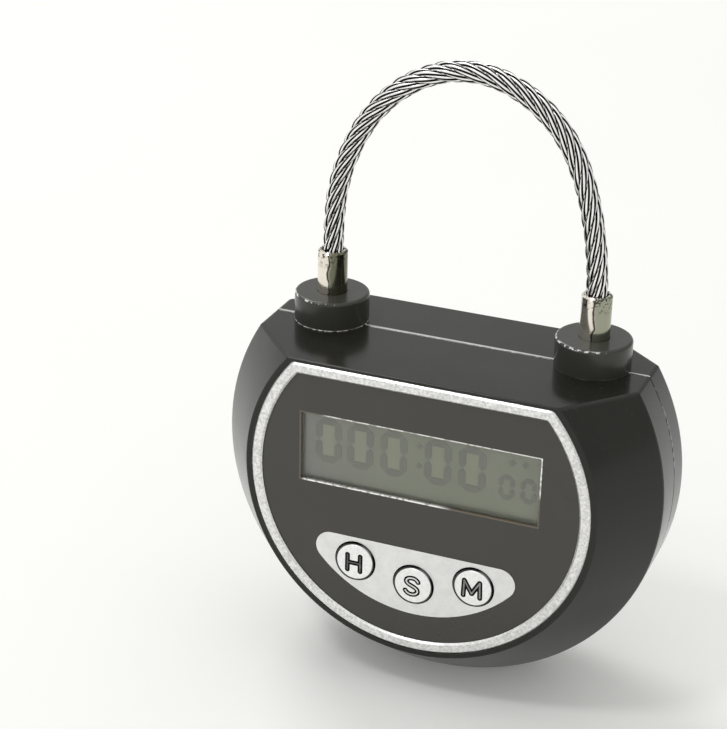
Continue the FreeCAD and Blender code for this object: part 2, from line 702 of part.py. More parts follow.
def display():
    node("display_pane", window("display_pane", "pane_margin", (PANE_FRONT, "ring_seat")))
    node("lcd_glass", box(
        "lcd_glass",
        ("-glass_width / 2", "glass_width / 2"),
        ("ring_seat", GLASS_BACK),
        ("display_rise - glass_height / 2", "display_rise + glass_height / 2"),
    ))
    half_strip = "(glass_width / 2 - strip_end)"
    middle = "(glass_height / 2 - strip_inset - strip_width / 2)"
    strips = [
        ("lower", f"display_rise - {middle}"),
        ("upper", f"display_rise + {middle}"),
    ]
    slots = []
    for name, rise in strips:
        node(f"contact_strip_{name}", box(
            f"contact_strip_{name}",
            (f"-{half_strip}", half_strip),
            (GLASS_BACK, "board_depth"),
            (f"{rise} - strip_width / 2", f"{rise} + strip_width / 2"),
        ))
        slots.append(box(
            f"strip_slot_{name}",
            (f"-{half_strip} - slip", f"{half_strip} + slip"),
            (f"{GLASS_BACK} - {ROOM}", f"board_depth + {ROOM}"),
            (f"{rise} - strip_width / 2 - slip", f"{rise} + strip_width / 2 + slip"),
        ))
    half_width = "(glass_width / 2 + holder_rim)"
    half_height = "(glass_height / 2 + holder_rim)"
    block = box(
        "holder_block",
        (f"-{half_width}", half_width),
        (GLASS_BACK, "board_depth"),
        (f"display_rise - {half_height}", f"display_rise + {half_height}"),
    )
    hollow_height = f"({middle} - strip_width / 2 - holder_rib)"
    hollow = box(
        "holder_hollow",
        (f"-{half_strip}", half_strip),
        (f"{GLASS_BACK} + reflector", f"board_depth + {ROOM}"),
        (f"display_rise - {hollow_height}", f"display_rise + {hollow_height}"),
    )
    node("display_holder", cut("display_holder", block, hollow, *slots))


# ---------------------------------------------------------------- keys and switches

SWITCH_FRONT = "(board_depth - switch_height)"
STEM_END = f"({SWITCH_FRONT} - plunger_reach)"
FLANGE_BACK = "(ring_seat + slip + key_flange)"


def key_panel():
    slab = dee("panel_slab", "panel_radius", "-panel_drop", "ring_seat - panel_setback",
               "panel_corner", "panel_setback")
    holes = [
        rod(f"key_hole_{name}", "Y", "key_radius + key_gap", f"ring_seat + 2 * {ROOM}", x, f"-{ROOM}", rise)
        for name, x, rise in KEY_SPOTS
    ]
    node("key_panel", cut("key_panel", slab, *holes))


def key(name, x, rise):
    """A key cap with the flange that keeps it in and the stem that reaches its switch."""
    body = turned(
        f"key_{name}",
        "Y",
        [("-key_proud", "0"), ("-key_proud", "key_radius"), ("ring_seat + slip", "key_radius"),
         ("ring_seat + slip", "key_flange_radius"), (FLANGE_BACK, "key_flange_radius"),
         (FLANGE_BACK, "key_stem_radius"), (STEM_END, "key_stem_radius"), (STEM_END, "0")],
        x, "0", rise,
    )
    doc.recompute()
    dress(body, "Fillet", edges_at_depth(body.Tip.Shape, -size("key_proud")), Radius="key_round")
    node(f"key_{name}", body)


def push_switch(name, x, rise):
    base = box(
        f"switch_base_{name}",
        (f"{x} - switch_width / 2", f"{x} + switch_width / 2"),
        (SWITCH_FRONT, "board_depth"),
        (f"{rise} - switch_width / 2", f"{rise} + switch_width / 2"),
    )
    well = rod(f"switch_well_{name}", "Y", "plunger_radius + slip",
               f"{ROOM} + plunger_tail + key_travel + slip", x, f"{SWITCH_FRONT} - {ROOM}", rise)
    node(f"switch_{name}", cut(f"switch_{name}", base, well))
    node(f"plunger_{name}", rod(f"plunger_{name}", "Y", "plunger_radius", "plunger_reach + plunger_tail",
                                x, STEM_END, rise))


# ---------------------------------------------------------------- board, battery, screws

def main_board():
    disc = dee("board_disc", "board_radius", "board_rise", "board_thick", "board_corner", "board_depth")
    tab = box("board_tab", ("-tab_reach", "-board_radius / 2"), ("board_depth", BOARD_BACK),
              ("-tab_height / 2", "tab_height / 2"))
    holes = [
        rod(f"board_hole_{name}", "Y", "screw_way", f"board_thick + 2 * {ROOM}",
            x, f"board_depth - {ROOM}", rise)
        for name, x, rise in SCREW_SPOTS
    ]
    node("main_board", cut("main_board", fuse("board_outline", disc, tab), *holes))
    node("controller_chip", box(
        "controller_chip",
        ("chip_across - chip_width / 2", "chip_across + chip_width / 2"),
        (BOARD_BACK, f"{BOARD_BACK} + chip_thick"),
        ("-chip_drop - chip_width / 2", "chip_width / 2 - chip_drop"),
    ))
    node("clock_crystal", rod("clock_crystal", "X", "crystal_radius", "crystal_length",
                              "-crystal_length - crystal_radius", f"{BOARD_BACK} + crystal_radius",
                              "-crystal_drop"))


def charging_socket():
    mouth = "(-port_reach)"
    case = box("socket_case", (mouth, f"{mouth} + port_length"), (BOARD_BACK, f"{BOARD_BACK} + port_thick"),
               ("-port_width / 2", "port_width / 2"))
    inside = box(
        "socket_inside",
        (f"{mouth} - {ROOM}", f"{mouth} + port_length - port_floor"),
        (f"{BOARD_BACK} + port_shell", f"{BOARD_BACK} + port_thick - port_shell"),
        ("port_shell - port_width / 2", "port_width / 2 - port_shell"),
    )
    middle = f"({BOARD_BACK} + port_thick / 2)"
    tongue = box(
        "socket_tongue",
        (f"{mouth} + tongue_inset", f"{mouth} + port_length - port_floor / 2"),
        (f"{middle} - tongue_thick / 2", f"{middle} + tongue_thick / 2"),
        ("tongue_inset - port_width / 2", "port_width / 2 - tongue_inset"),
    )
    node("charging_socket", fuse("charging_socket", cut("socket_shell", case, inside), tongue))


def battery():
    back = f"({BACK_WALL} - pad_thick)"
    node("battery_cell", box("battery_cell", ("-cell_width / 2", "cell_width / 2"),
                             (f"{back} - cell_thick", back),
                             ("-cell_drop - cell_height / 2", "cell_height / 2 - cell_drop")))
    half_width = "(cell_width / 2 - pad_inset)"
    half_height = "(cell_height / 2 - pad_inset)"
    node("battery_pad", box("battery_pad", (f"-{half_width}", half_width), (back, BACK_WALL),
                            (f"-cell_drop - {half_height}", f"{half_height} - cell_drop")))


def screw(name, head, head_height, seat, tip, x, rise, facing):
    """A screw along Y with a cross recess; facing is 1 where its head looks to the back."""
    top = f"({seat} + {facing} * {head_height})"
    blank = turned(
        f"screw_{name}",
        "Y",
        [(top, "0"), (top, head), (seat, head), (seat, "thread_radius"), (tip, "thread_radius"),
         (tip, "0")],
        x, "0", rise,
    )
    floor = f"({top} - drive_depth)" if facing > 0 else f"({top} - {ROOM})"
    depth = (floor, f"{floor} + drive_depth + {ROOM}")
    wide = box(f"screw_{name}_wide", (f"{x} - drive_radius", f"{x} + drive_radius"), depth,
               (f"{rise} - drive_width / 2", f"{rise} + drive_width / 2"))
    tall = box(f"screw_{name}_tall", (f"{x} - drive_width / 2", f"{x} + drive_width / 2"), depth,
               (f"{rise} - drive_radius", f"{rise} + drive_radius"))
    return cut(f"screw_{name}_cut", blank, wide, tall)


def group(name, pieces):
    """Identical pieces that share one node, each still a solid of its own."""
    together = doc.addObject("Part::Compound", name)
    together.Links = pieces
    node(name, together)


def case_screws():
    tip = "(board_depth - thread_bite)"
    group("case_screws", [
        screw(name, "head_radius", "head_height", HEAD_SEAT, tip, x, rise, 1)
        for name, x, rise in SCREW_SPOTS
    ])


# ---------------------------------------------------------------- shackle

def rope_end(side, name, gap):
    """Cap and ferrule at one end of the rope; gap lies between the cap and the flat top."""
    x = f"{side} * pin_spread"
    foot = f"({gap} + cap_web)"
    cap = turned(
        f"{name}_cap",
        "Z",
        [(gap, "spigot_radius + slip"), (gap, "cap_radius"), ("cap_height", "cap_radius"),
         ("cap_height", "ferrule_radius + slip"), (foot, "ferrule_radius + slip"),
         (foot, "spigot_radius + slip")],
        x, "shackle_depth", "top_rise",
    )
    doc.recompute()
    rim = [
        f"Edge{number}"
        for number, edge in enumerate(cap.Tip.Shape.Edges, start=1)
        if edge.BoundBox.ZMin > size("cap_height") - TINY and edge.BoundBox.XMax > size("cap_radius") - TINY
    ]
    dress(cap, "Fillet", rim, Radius="cap_round")
    node(f"{name}_cap", cap)
    hold = "(ferrule_rise - rope_hold)"
    web = f"({foot} + spigot_hold + slip)"
    node(f"{name}_ferrule", turned(
        f"{name}_ferrule",
        "Z",
        [(foot, "spigot_radius + slip"), (foot, "ferrule_radius"),
         ("ferrule_rise - ferrule_lip", "ferrule_radius"), ("ferrule_rise", "ferrule_radius - ferrule_lip"),
         ("ferrule_rise", "rope_radius + slip"), (hold, "rope_radius + slip"), (hold, "0"),
         (web, "0"), (web, "spigot_radius + slip")],
        x, "shackle_depth", "top_rise",
    ))


def plug_pin():
    groove_top = "(latch_rise - top_rise + groove_height / 2)"
    groove_foot = "(latch_rise - top_rise - groove_height / 2)"
    spigot_top = "(plug_gap + cap_web + spigot_hold)"
    node("plug_pin", turned(
        "plug_pin",
        "Z",
        [(spigot_top, "0"), (spigot_top, "spigot_radius"), ("plug_gap", "spigot_radius"),
         ("plug_gap", "pin_radius"), (groove_top, "pin_radius"), (groove_top, "groove_radius"),
         (groove_foot, "groove_radius"), (groove_foot, "pin_radius"),
         ("pin_nose - pin_length", "pin_radius"), ("-pin_length", "pin_radius - pin_nose"),
         ("-pin_length", "0")],
        "-pin_spread", "shackle_depth", "top_rise",
    ))


def anchor_stem():
    spigot_top = "(cap_web + spigot_hold)"
    flange_foot = f"({FLANGE_FOOT} - top_rise)"
    flange_top = f"({flange_foot} + flange_thick)"
    node("anchor_stem", turned(
        "anchor_stem",
        "Z",
        [(spigot_top, "0"), (spigot_top, "spigot_radius"), ("0", "spigot_radius"), ("0", "pin_radius"),
         (flange_top, "pin_radius"), (flange_top, "flange_radius"), (flange_foot, "flange_radius"),
         (flange_foot, "pin_radius"), ("-stem_length", "pin_radius"), ("-stem_length", "0")],
        "pin_spread", "shackle_depth", "top_rise",
    ))


def socket_bush():
    tube = rod("bush_tube", "Z", "bush_radius", "bush_length", "-pin_spread", "shackle_depth",
               "top_rise - bush_length")
    bore = rod("bush_bore", "Z", "pin_radius + slip", f"bush_length + 2 * {ROOM}", "-pin_spread",
               "shackle_depth", f"top_rise - bush_length - {ROOM}")
    node("socket_bush", cut("socket_bush", tube, bore))


def rope_path(points):
    """Straight runs joined by tangent arcs, and the arcs' radii."""
    edges = []
    radii = []
    here = points[0]
    for before, corner, after in zip(points, points[1:], points[2:]):
        back = (before - corner).normalize()
        ahead = (after - corner).normalize()
        reach = ARC_SHARE * min((before - corner).Length, (after - corner).Length)
        half_turn = (math.pi - back.getAngle(ahead)) / 2
        radius = reach / math.tan(half_turn)
        start = corner + back * reach
        end = corner + ahead * reach
        centre = corner + (back + ahead).normalize() * (radius / math.cos(half_turn))
        middle = centre + (corner - centre).normalize() * radius
        edges.append(Part.LineSegment(here, start).toShape())
        edges.append(Part.Arc(start, middle, end).toShape())
        radii.append(radius)
        here = end
    edges.append(Part.LineSegment(here, points[-1]).toShape())
    return Part.Wire(edges), radii


def shackle_rope():
    path, radii = rope_path([Vector(x, 0, rise) for x, rise in ROPE_ROUTE])
    radius = size("rope_radius")
    section = Part.Wire([Part.makeCircle(radius, path.Edges[0].valueAt(0), Vector(0, 0, 1))])
    rope = doc.addObject("Part::Feature", "shackle_rope")
    rope.Shape = path.makePipeShell([section], True, True)
    place(rope, "0", "shackle_depth", "top_rise")
    print("rope length", round(path.Length, 2), "radii", [round(value, 1) for value in radii])
    full = math.pi * radius ** 2 * path.Length
    print("rope volume over section times length", rope.Shape.Volume / full)
    node("shackle_rope", rope)


# ---------------------------------------------------------------- lock mechanism

NOSE_TIP = "(pin_radius + latch_clear - pin_spread)"
SLIDER_FRONT = f"({NOSE_TIP} + nose_length)"
SLIDER_BACK = f"({SLIDER_FRONT} + slider_length)"
GUIDE_END = f"({SLIDER_FRONT} - latch_travel - guide_run)"
GUIDE_START = "(frame_end - end_wall)"
HOLE_END = f"({SLIDER_FRONT} + slider_skin)"
SCREW_TIP = f"({HOLE_END} + screw_free)"
BUSH_FOOT = "(top_rise - bush_length)"


def about_latch(half):
    """Rises half above and half below the axis of bolt and screw."""
    return (f"latch_rise - {half}", f"latch_rise + {half}")


def about_plane(half):
    """Depths half in front of and half behind the plane of the shackle."""
    return (f"shackle_depth - {half}", f"shackle_depth + {half}")


def lock_frame():
    block = box("frame_block", ("-pin_spread - frame_cheek", "frame_end"), (FRAME_FRONT, FRAME_BACK),
                ("frame_foot", CEILING))
    foot = "(top_rise - pin_length - socket_floor)"
    pin_way = rod("frame_pin_way", "Z", "pin_radius + slip", f"top_rise - {foot}", "-pin_spread",
                  "shackle_depth", foot)
    bush_seat = bush_room("bush_seat", BUSH_FOOT)
    guide = box("bolt_guide", (GUIDE_END, GUIDE_START),
                (f"{FRAME_FRONT} + frame_skin", f"{FRAME_BACK} + {ROOM}"),
                about_latch("(slider_height / 2 + guide_gap)"))
    nose_way = box("nose_way", ("-pin_spread", f"{GUIDE_END} + {ROOM}"),
                   about_plane("(nose_depth / 2 + guide_gap)"),
                   about_latch("(nose_height / 2 + guide_gap)"))
    boss_way = rod("boss_way", "X", "motor_boss_radius + slip", f"end_wall + 2 * {ROOM}",
                   f"{GUIDE_START} - {ROOM}", "shackle_depth", "latch_rise")
    ways = []
    for name, x, rise in FRAME_SCREW_SPOTS:
        ways.append(rod(f"frame_way_{name}", "Y", "screw_way", f"frame_thick + 2 * {ROOM}",
                        x, f"{FRAME_FRONT} - {ROOM}", rise))
        ways.append(rod(f"frame_head_{name}", "Y", "small_head_radius + slip",
                        f"small_head_height + {ROOM}", x, f"{FRAME_FRONT} - {ROOM}", rise))
    node("lock_frame", cut("lock_frame", block, pin_way, bush_seat, guide, nose_way, boss_way, *ways))
    cover = box("cover_plate", (f"{GUIDE_END} - end_wall", "frame_end"), (FRAME_BACK, COVER_BACK),
                ("frame_foot", CEILING))
    cover_ways = [
        rod(f"cover_way_{name}", "Y", "screw_way", f"cover_thick + 2 * {ROOM}",
            x, f"{FRAME_BACK} - {ROOM}", rise)
        for name, x, rise in FRAME_SCREW_SPOTS
    ]
    node("frame_cover", cut("frame_cover", cover, *cover_ways))
    group("frame_screws", [
        screw(f"frame_{name}", "small_head_radius", "small_head_height",
              f"({FRAME_FRONT} + small_head_height)", f"({COVER_BACK} + frame_screw_bite)", x, rise, -1)
        for name, x, rise in FRAME_SCREW_SPOTS
    ])


def latch_bolt():
    slider = box(
        "slider",
        (SLIDER_FRONT, SLIDER_BACK),
        (f"{FRAME_FRONT} + frame_skin + guide_gap / 2", f"{FRAME_BACK} - guide_gap / 2"),
        about_latch("slider_height / 2"),
    )
    nose = box("nose", (NOSE_TIP, f"{SLIDER_FRONT} + slider_skin / 2"), about_plane("nose_depth / 2"),
               about_latch("nose_height / 2"))
    thread = rod("bolt_thread", "X", "screw_radius + slip", f"slider_length - slider_skin + {ROOM}",
                 HOLE_END, "shackle_depth", "latch_rise")
    node("latch_bolt", cut("latch_bolt", fuse("bolt_blank", slider, nose), thread))


def lead_screw():
    corners = [(SCREW_TIP, "0")]
    for turn in range(THREADS):
        root = f"{SCREW_TIP} + {turn} * screw_lead"
        corners.append((root, "screw_root"))
        corners += [(f"{root} + {share} * screw_lead", "screw_radius") for share in CREST]
    corners.append((f"{SCREW_TIP} + {THREADS} * screw_lead", "screw_root"))
    end = "(frame_end + motor_shaft)"
    corners += [(end, "screw_root"), (end, "0")]
    node("lead_screw", turned("lead_screw", "X", corners, "0", "shackle_depth", "latch_rise"))


def latch_motor():
    hole_end = "(frame_end + motor_shaft + slip)"
    tail = f"({MOTOR_END} + motor_tail)"
    node("latch_motor", turned(
        "latch_motor",
        "X",
        [(GUIDE_START, "screw_root + slip"), (GUIDE_START, "motor_boss_radius"),
         ("frame_end", "motor_boss_radius"), ("frame_end", "motor_radius"), (MOTOR_END, "motor_radius"),
         (MOTOR_END, "screw_root"), (tail, "screw_root"), (tail, "0"), (hole_end, "0"),
         (hole_end, "screw_root + slip")],
        "0", "shackle_depth", "latch_rise",
    ))
    node("motor_buffer", box(
        "motor_buffer",
        ("frame_end + buffer_inset", f"{MOTOR_END} - buffer_inset"),
        (BOARD_BACK, "shackle_depth - motor_radius"),
        about_latch("buffer_height / 2"),
    ))


# ---------------------------------------------------------------- build, check, write

front_shell()
back_shell()
bezel_ring()
face_plate()
display()
key_panel()
for key_name, key_x, key_rise in KEY_SPOTS:
    key(key_name, key_x, key_rise)
    push_switch(key_name, key_x, key_rise)
main_board()
charging_socket()
battery()
case_screws()
rope_end(-1, "plug", "plug_gap")
rope_end(1, "anchor", "0")
plug_pin()
anchor_stem()
socket_bush()
shackle_rope()
lock_frame()
latch_bolt()
lead_screw()
latch_motor()
doc.recompute()

for item in doc.Objects:
    if "Invalid" in item.State or "Error" in item.State:
        raise RuntimeError(f"{item.Name} failed: {item.State}")
for name, feature in NODES.items():
    if feature.Shape.isNull() or not feature.Shape.isValid() or not feature.Shape.Solids:
        raise RuntimeError(f"{name} has no valid solid")

os.makedirs("parts", exist_ok=True)
for name, feature in NODES.items():
    feature.Shape.exportStep(f"parts/{name}.step")
    print(name, len(feature.Shape.Solids), round(feature.Shape.Volume, 2))
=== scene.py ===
# %% [markdown]
# # A timer padlock with a wire rope shackle
#
# The padlock is a round case of black plastic with a display, three keys and a loop of steel
# wire rope. Its solids come from a CAD program. This script dresses them: it loads them as a
# fixed frame, makes the parts that a mesh tool makes better, and gives every piece a finish.
#
# All lengths are metres in the frame of the solids: x to the right, y to the back, z up, and
# the origin on the floor under the middle of the case.

# %% Load the solids
import json
import math

import bmesh
import bpy
from mathutils import Matrix, Vector


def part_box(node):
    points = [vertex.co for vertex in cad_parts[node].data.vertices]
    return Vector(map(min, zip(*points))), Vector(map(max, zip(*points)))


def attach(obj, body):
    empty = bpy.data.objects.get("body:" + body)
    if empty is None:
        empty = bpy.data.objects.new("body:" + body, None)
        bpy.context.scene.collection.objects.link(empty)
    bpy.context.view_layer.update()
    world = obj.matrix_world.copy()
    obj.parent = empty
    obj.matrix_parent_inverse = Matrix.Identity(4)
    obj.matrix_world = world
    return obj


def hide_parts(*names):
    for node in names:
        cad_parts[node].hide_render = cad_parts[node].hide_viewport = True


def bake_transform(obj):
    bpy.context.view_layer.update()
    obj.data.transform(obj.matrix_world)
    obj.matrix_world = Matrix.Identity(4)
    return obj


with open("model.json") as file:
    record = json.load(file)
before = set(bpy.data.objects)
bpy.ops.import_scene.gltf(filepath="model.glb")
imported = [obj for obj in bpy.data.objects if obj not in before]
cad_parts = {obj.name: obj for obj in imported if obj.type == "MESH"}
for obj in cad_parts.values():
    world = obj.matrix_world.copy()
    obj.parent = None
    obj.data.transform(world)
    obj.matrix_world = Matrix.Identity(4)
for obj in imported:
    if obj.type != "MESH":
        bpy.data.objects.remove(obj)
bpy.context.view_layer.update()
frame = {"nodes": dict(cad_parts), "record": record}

scene = bpy.context.scene

# %% [markdown]
# ## Camera
#
# A long lens a third of a metre away flattens the round case only a little. The camera stands
# to the right of the face and above it, so that the flat top and the right flank show too. Its
# turn, rise and roll are separate rotations, so each can be changed without the others.

# %% Camera
CAMERA_PLACE = Vector((0.086295, -0.249995, 0.166203))
CAMERA_TURN = math.radians(21.707)
CAMERA_RISE = math.radians(24.529)
CAMERA_ROLL = math.radians(1.337)
LENS_MM = 103.87
SENSOR_MM = 36
NEAREST = 0.01           # nothing closer than this is drawn

lens = bpy.data.cameras.new("studio_camera")
lens.lens = LENS_MM
lens.sensor_width = SENSOR_MM
lens.clip_start = NEAREST
camera = bpy.data.objects.new("studio_camera", lens)
scene.collection.objects.link(camera)
camera.matrix_world = (
    Matrix.Translation(CAMERA_PLACE)
    @ Matrix.Rotation(CAMERA_TURN, 4, "Z")
    @ Matrix.Rotation(math.pi / 2 - CAMERA_RISE, 4, "X")
    @ Matrix.Rotation(CAMERA_ROLL, 4, "Z")
)
scene.camera = camera
scene.view_settings.view_transform = "Standard"
print("camera", round(CAMERA_PLACE.length, 3), "m from the foot of the case")

# %% [markdown]
# ## The rope's centre line
#
# The shackle is one piece of wire rope that stands up out of the left ferrule, bends over and
# goes into the right one. A rope has no corners, so its line is a NURBS spline of order 3: it
# passes close to the points and turns smoothly between them. The strands are laid round this
# line, so it is read back as a row of close points.

# %% Rope line
ROPE_DEPTH = 0.0024      # plane of the shackle, just behind the joint of the shells
FLAT_TOP = 0.04865
ROPE_ROUTE = [           # (x, height over the flat top)
    (-0.01915, 0.00640),
    (-0.01915, 0.01200),
    (-0.01880, 0.01900),
    (-0.01695, 0.02525),
    (-0.01385, 0.03095),
    (-0.00915, 0.03555),
    (-0.00325, 0.03835),
    (0.00320, 0.03850),
    (0.00925, 0.03575),
    (0.01390, 0.03115),
    (0.01665, 0.02525),
    (0.01825, 0.01895),
    (0.01915, 0.01200),
    (0.01915, 0.00640),
]
SPAN_POINTS = 20         # points read back from each span of the spline


def rope_line():
    """Points along the rope's spline, and how far along it each one is."""
    curve = bpy.data.curves.new("rope_line", "CURVE")
    curve.dimensions = "3D"
    spline = curve.splines.new("NURBS")
    spline.points.add(len(ROPE_ROUTE) - 1)
    for point, (x, height) in zip(spline.points, ROPE_ROUTE):
        point.co = (x, ROPE_DEPTH, FLAT_TOP + height, 1)
    spline.order_u = 3
    spline.use_endpoint_u = True
    spline.resolution_u = SPAN_POINTS
    holder = bpy.data.objects.new("rope_line", curve)
    shape = bpy.data.meshes.new_from_object(holder)
    points = [vertex.co.copy() for vertex in shape.vertices]
    bpy.data.objects.remove(holder)
    bpy.data.meshes.remove(shape)
    run = [0.0]
    for before, after in zip(points, points[1:]):
        run.append(run[-1] + (after - before).length)
    return points, run


line, run = rope_line()
print("rope line:", len(line), "points,", round(run[-1], 4), "m")

# %% [markdown]
# ## Tubes and meshes
#
# A wire is a tube round a row of points. Blender's curves can be given a round section too,
# but the wires need their rings square to their own helix and a number on each point, so the
# tube is built here ring by ring. The same bridge of faces between two rings also makes the
# washer, the window's edge and the bars of the digits.

# %% Tube helpers
def along(points):
    """Directions of a row of points."""
    ends = [points[0]] + points + [points[-1]]
    return [(after - before).normalized() for before, after in zip(ends, ends[2:])]


def bridge(mesh, rings):
    """Faces between each ring of corners and the next."""
    for ring, following in zip(rings, rings[1:]):
        for side in range(len(ring)):
            other = (side + 1) % len(ring)
            mesh.faces.new((ring[side], ring[other], following[other], following[side]))


def tube(mesh, points, outward, radius, sides):
    """A closed tube round the points; gives back its rings."""
    turns = [2 * math.pi * side / sides for side in range(sides)]
    rings = []
    for point, out, heading in zip(points, outward, along(points)):
        out = (out - heading * out.dot(heading)).normalized()
        across = heading.cross(out)
        rings.append([
            mesh.verts.new(point + (out * math.cos(turn) + across * math.sin(turn)) * radius)
            for turn in turns
        ])
    bridge(mesh, rings)
    mesh.faces.new(list(reversed(rings[0])))
    mesh.faces.new(rings[-1])
    return rings


def placed(mesh, name, smooth=True):
    """Make a bmesh an object of the scene."""
    for face in mesh.faces:
        face.smooth = smooth
    data = bpy.data.meshes.new(name)
    mesh.to_mesh(data)
    mesh.free()
    piece = bpy.data.objects.new(name, data)
    scene.collection.objects.link(piece)
    return piece


# %% [markdown]
# ## The rope's strands
#
# Wire rope of this size is six strands round a core, each of a few wires round a middle one.
# The strands climb to the right, and the wires in each strand turn the other way, so the wires
# that show run almost straight along the rope. A bump map could hint at that, but the outline
# would stay smooth, so every outer wire is a tube of its own: a strand is a helix round the
# rope's line, and a wire is a helix round its strand. Five wires to a strand leave each one
# thick enough to be told from the next at arm's length. What they lie on stays out of sight,
# so one plain tube stands for the core.
#
# Dirt and shadow sit between the wires. The finish finds those places by a number on each
# point, called ridge: 1 on the outside of a wire, 0 at its flanks, where the next wire lies.

# %% Rope strands
ROPE_RADIUS = 0.0015
STRANDS = 6
WIRES = 5                # outer wires in each strand
STRAND_RADIUS = ROPE_RADIUS / 3
STRAND_CIRCLE = ROPE_RADIUS - STRAND_RADIUS
WIRE_RADIUS = STRAND_RADIUS / (1 + 1 / math.sin(math.pi / WIRES))
WIRE_SIDES = 8
CORE_RADIUS = STRAND_CIRCLE - STRAND_RADIUS + 0.00003   # just into the strands
CORE_SIDES = 12
STRAND_LAY = 0.0135      # length in which a strand goes once round the rope
WIRE_LAY = 0.0072        # length in which a wire goes once round its strand


def helix(points, outward, radius, angles):
    """Points on a circle round each given point, and the directions out to them."""
    spokes = [
        out * math.cos(angle) + heading.cross(out) * math.sin(angle)
        for out, heading, angle in zip(outward, along(points), angles)
    ]
    return [point + spoke * radius for point, spoke in zip(points, spokes)], spokes


mesh = bmesh.new()
ridge = mesh.verts.layers.float.new("ridge")
side_on = [Vector((0, 1, 0)).cross(heading) for heading in along(line)]
tube(mesh, line, side_on, CORE_RADIUS, CORE_SIDES)
for strand in range(STRANDS):
    turns = [2 * math.pi * (strand / STRANDS + here / STRAND_LAY) for here in run]
    middle, out = helix(line, side_on, STRAND_CIRCLE, turns)
    for wire in range(WIRES):
        turns = [2 * math.pi * (wire / WIRES - here / WIRE_LAY) for here in run]
        path, spokes = helix(middle, out, STRAND_RADIUS - WIRE_RADIUS, turns)
        for ring in tube(mesh, path, spokes, WIRE_RADIUS, WIRE_SIDES):
            for side, vertex in enumerate(ring):
                vertex[ridge] = math.cos(2 * math.pi * side / WIRE_SIDES)
rope = placed(mesh, "rope_strands")
print("rope:", len(rope.data.vertices), "vertices in", STRANDS * WIRES, "wires")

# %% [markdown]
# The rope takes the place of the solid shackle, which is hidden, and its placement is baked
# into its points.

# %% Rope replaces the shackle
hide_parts("shackle_rope")
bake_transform(rope)
print("cord:", round(1000 * run[-1], 1), "mm long,", 2000 * ROPE_RADIUS, "mm thick")

# %% [markdown]
# ## Floor and light
#
# The floor is a wide pale disc that takes the padlock's shadow. Most of the light comes from
# the surroundings, at the end of this script: glossy black plastic shows nothing but what it
# mirrors. A large soft lamp high behind the left shoulder puts the shadow in front, on the
# right. A second lamp, small and weak, hangs high in front on the left. It lights next to
# nothing, but its mirror image is the sharp glint on bright metal and on rounded edges.

# %% Floor and lamps
FLOOR_RADIUS = 1.6
FLOOR_SIDES = 96

mesh = bmesh.new()
bmesh.ops.create_circle(mesh, cap_ends=True, radius=FLOOR_RADIUS, segments=FLOOR_SIDES)
floor = placed(mesh, "studio_floor", smooth=False)


def soft_lamp(name, place, aim, width, watts):
    """A round lamp at a place, turned to what it aims at."""
    lamp = bpy.data.lights.new(name, "AREA")
    lamp.shape = "DISK"
    lamp.size = width
    lamp.energy = watts
    holder = bpy.data.objects.new(name, lamp)
    scene.collection.objects.link(holder)
    turned = (Vector(aim) - Vector(place)).to_track_quat("-Z", "Y")
    holder.matrix_world = Matrix.Translation(place) @ turned.to_matrix().to_4x4()
    print(name, width, "m wide,", watts, "W")


soft_lamp("lamp_back_left", place=(-1.0, 0.81, 1.53), aim=(0, 0, 0.03), width=0.9, watts=9.5)
soft_lamp("lamp_glint", place=(-0.30, -0.36, 0.80), aim=(0, 0, 0.04), width=0.16, watts=1.2)

# %% [markdown]
# ## Helpers for finishes
#
# A finish is a material whose nodes vary its colour, roughness and relief. A few short helpers
# keep the node trees readable. The first ones set inputs, add nodes and do sums. An input is
# either a plain value or a socket of another node, and a colour is three numbers.

# %% Nodes and sums
def feed(tree, socket, value):
    """Set an input, or link another node's output to it."""
    if isinstance(value, bpy.types.NodeSocket):
        tree.links.new(value, socket)
    elif socket.type == "RGBA":
        socket.default_value = (*value, 1)
    else:
        socket.default_value = value


def add(tree, kind, **inputs):
    """Add a node; the names of inputs are written with _ for a space."""
    node = tree.nodes.new(kind)
    for name, value in inputs.items():
        feed(tree, node.inputs[name.replace("_", " ")], value)
    return node


def maths(tree, operation, *values, clamp=False):
    node = tree.nodes.new("ShaderNodeMath")
    node.operation = operation
    node.use_clamp = clamp
    for socket, value in zip(node.inputs, values):
        feed(tree, socket, value)
    return node.outputs[0]


def times(tree, first, *others):
    for other in others:
        first = maths(tree, "MULTIPLY", first, other)
    return first


def plus(tree, first, *others):
    for other in others:
        first = maths(tree, "ADD", first, other)
    return first


def minus(tree, first, second):
    return maths(tree, "SUBTRACT", first, second)


def largest(tree, first, second):
    return maths(tree, "MAXIMUM", first, second)


def apart(tree, first, second):
    """How far two values are from each other."""
    return maths(tree, "ABSOLUTE", minus(tree, first, second))


# %% [markdown]
# The second ones work with places, directions, noise and colours. Nearly every mask here is
# made in the same way: take a value that changes over the surface, such as a height or a
# noise, and stretch the part of its range that matters to 0..1.

# %% Places, masks and colours
def remap(tree, value, low, high, to_low=0.0, to_high=1.0):
    """Stretch low..high to to_low..to_high, clamped."""
    node = add(tree, "ShaderNodeMapRange", Value=value, From_Min=low, From_Max=high,
               To_Min=to_low, To_Max=to_high)
    return node.outputs["Result"]


def blended(tree, share, first, second):
    """The first colour at share 0, the second at share 1."""
    node = tree.nodes.new("ShaderNodeMix")
    node.data_type = "RGBA"
    for place, value in ((0, share), (6, first), (7, second)):
        feed(tree, node.inputs[place], value)
    return node.outputs[2]


def surface_place(tree):
    return tree.nodes.new("ShaderNodeTexCoord").outputs["Object"]


def surface_facing(tree):
    return tree.nodes.new("ShaderNodeTexCoord").outputs["Normal"]


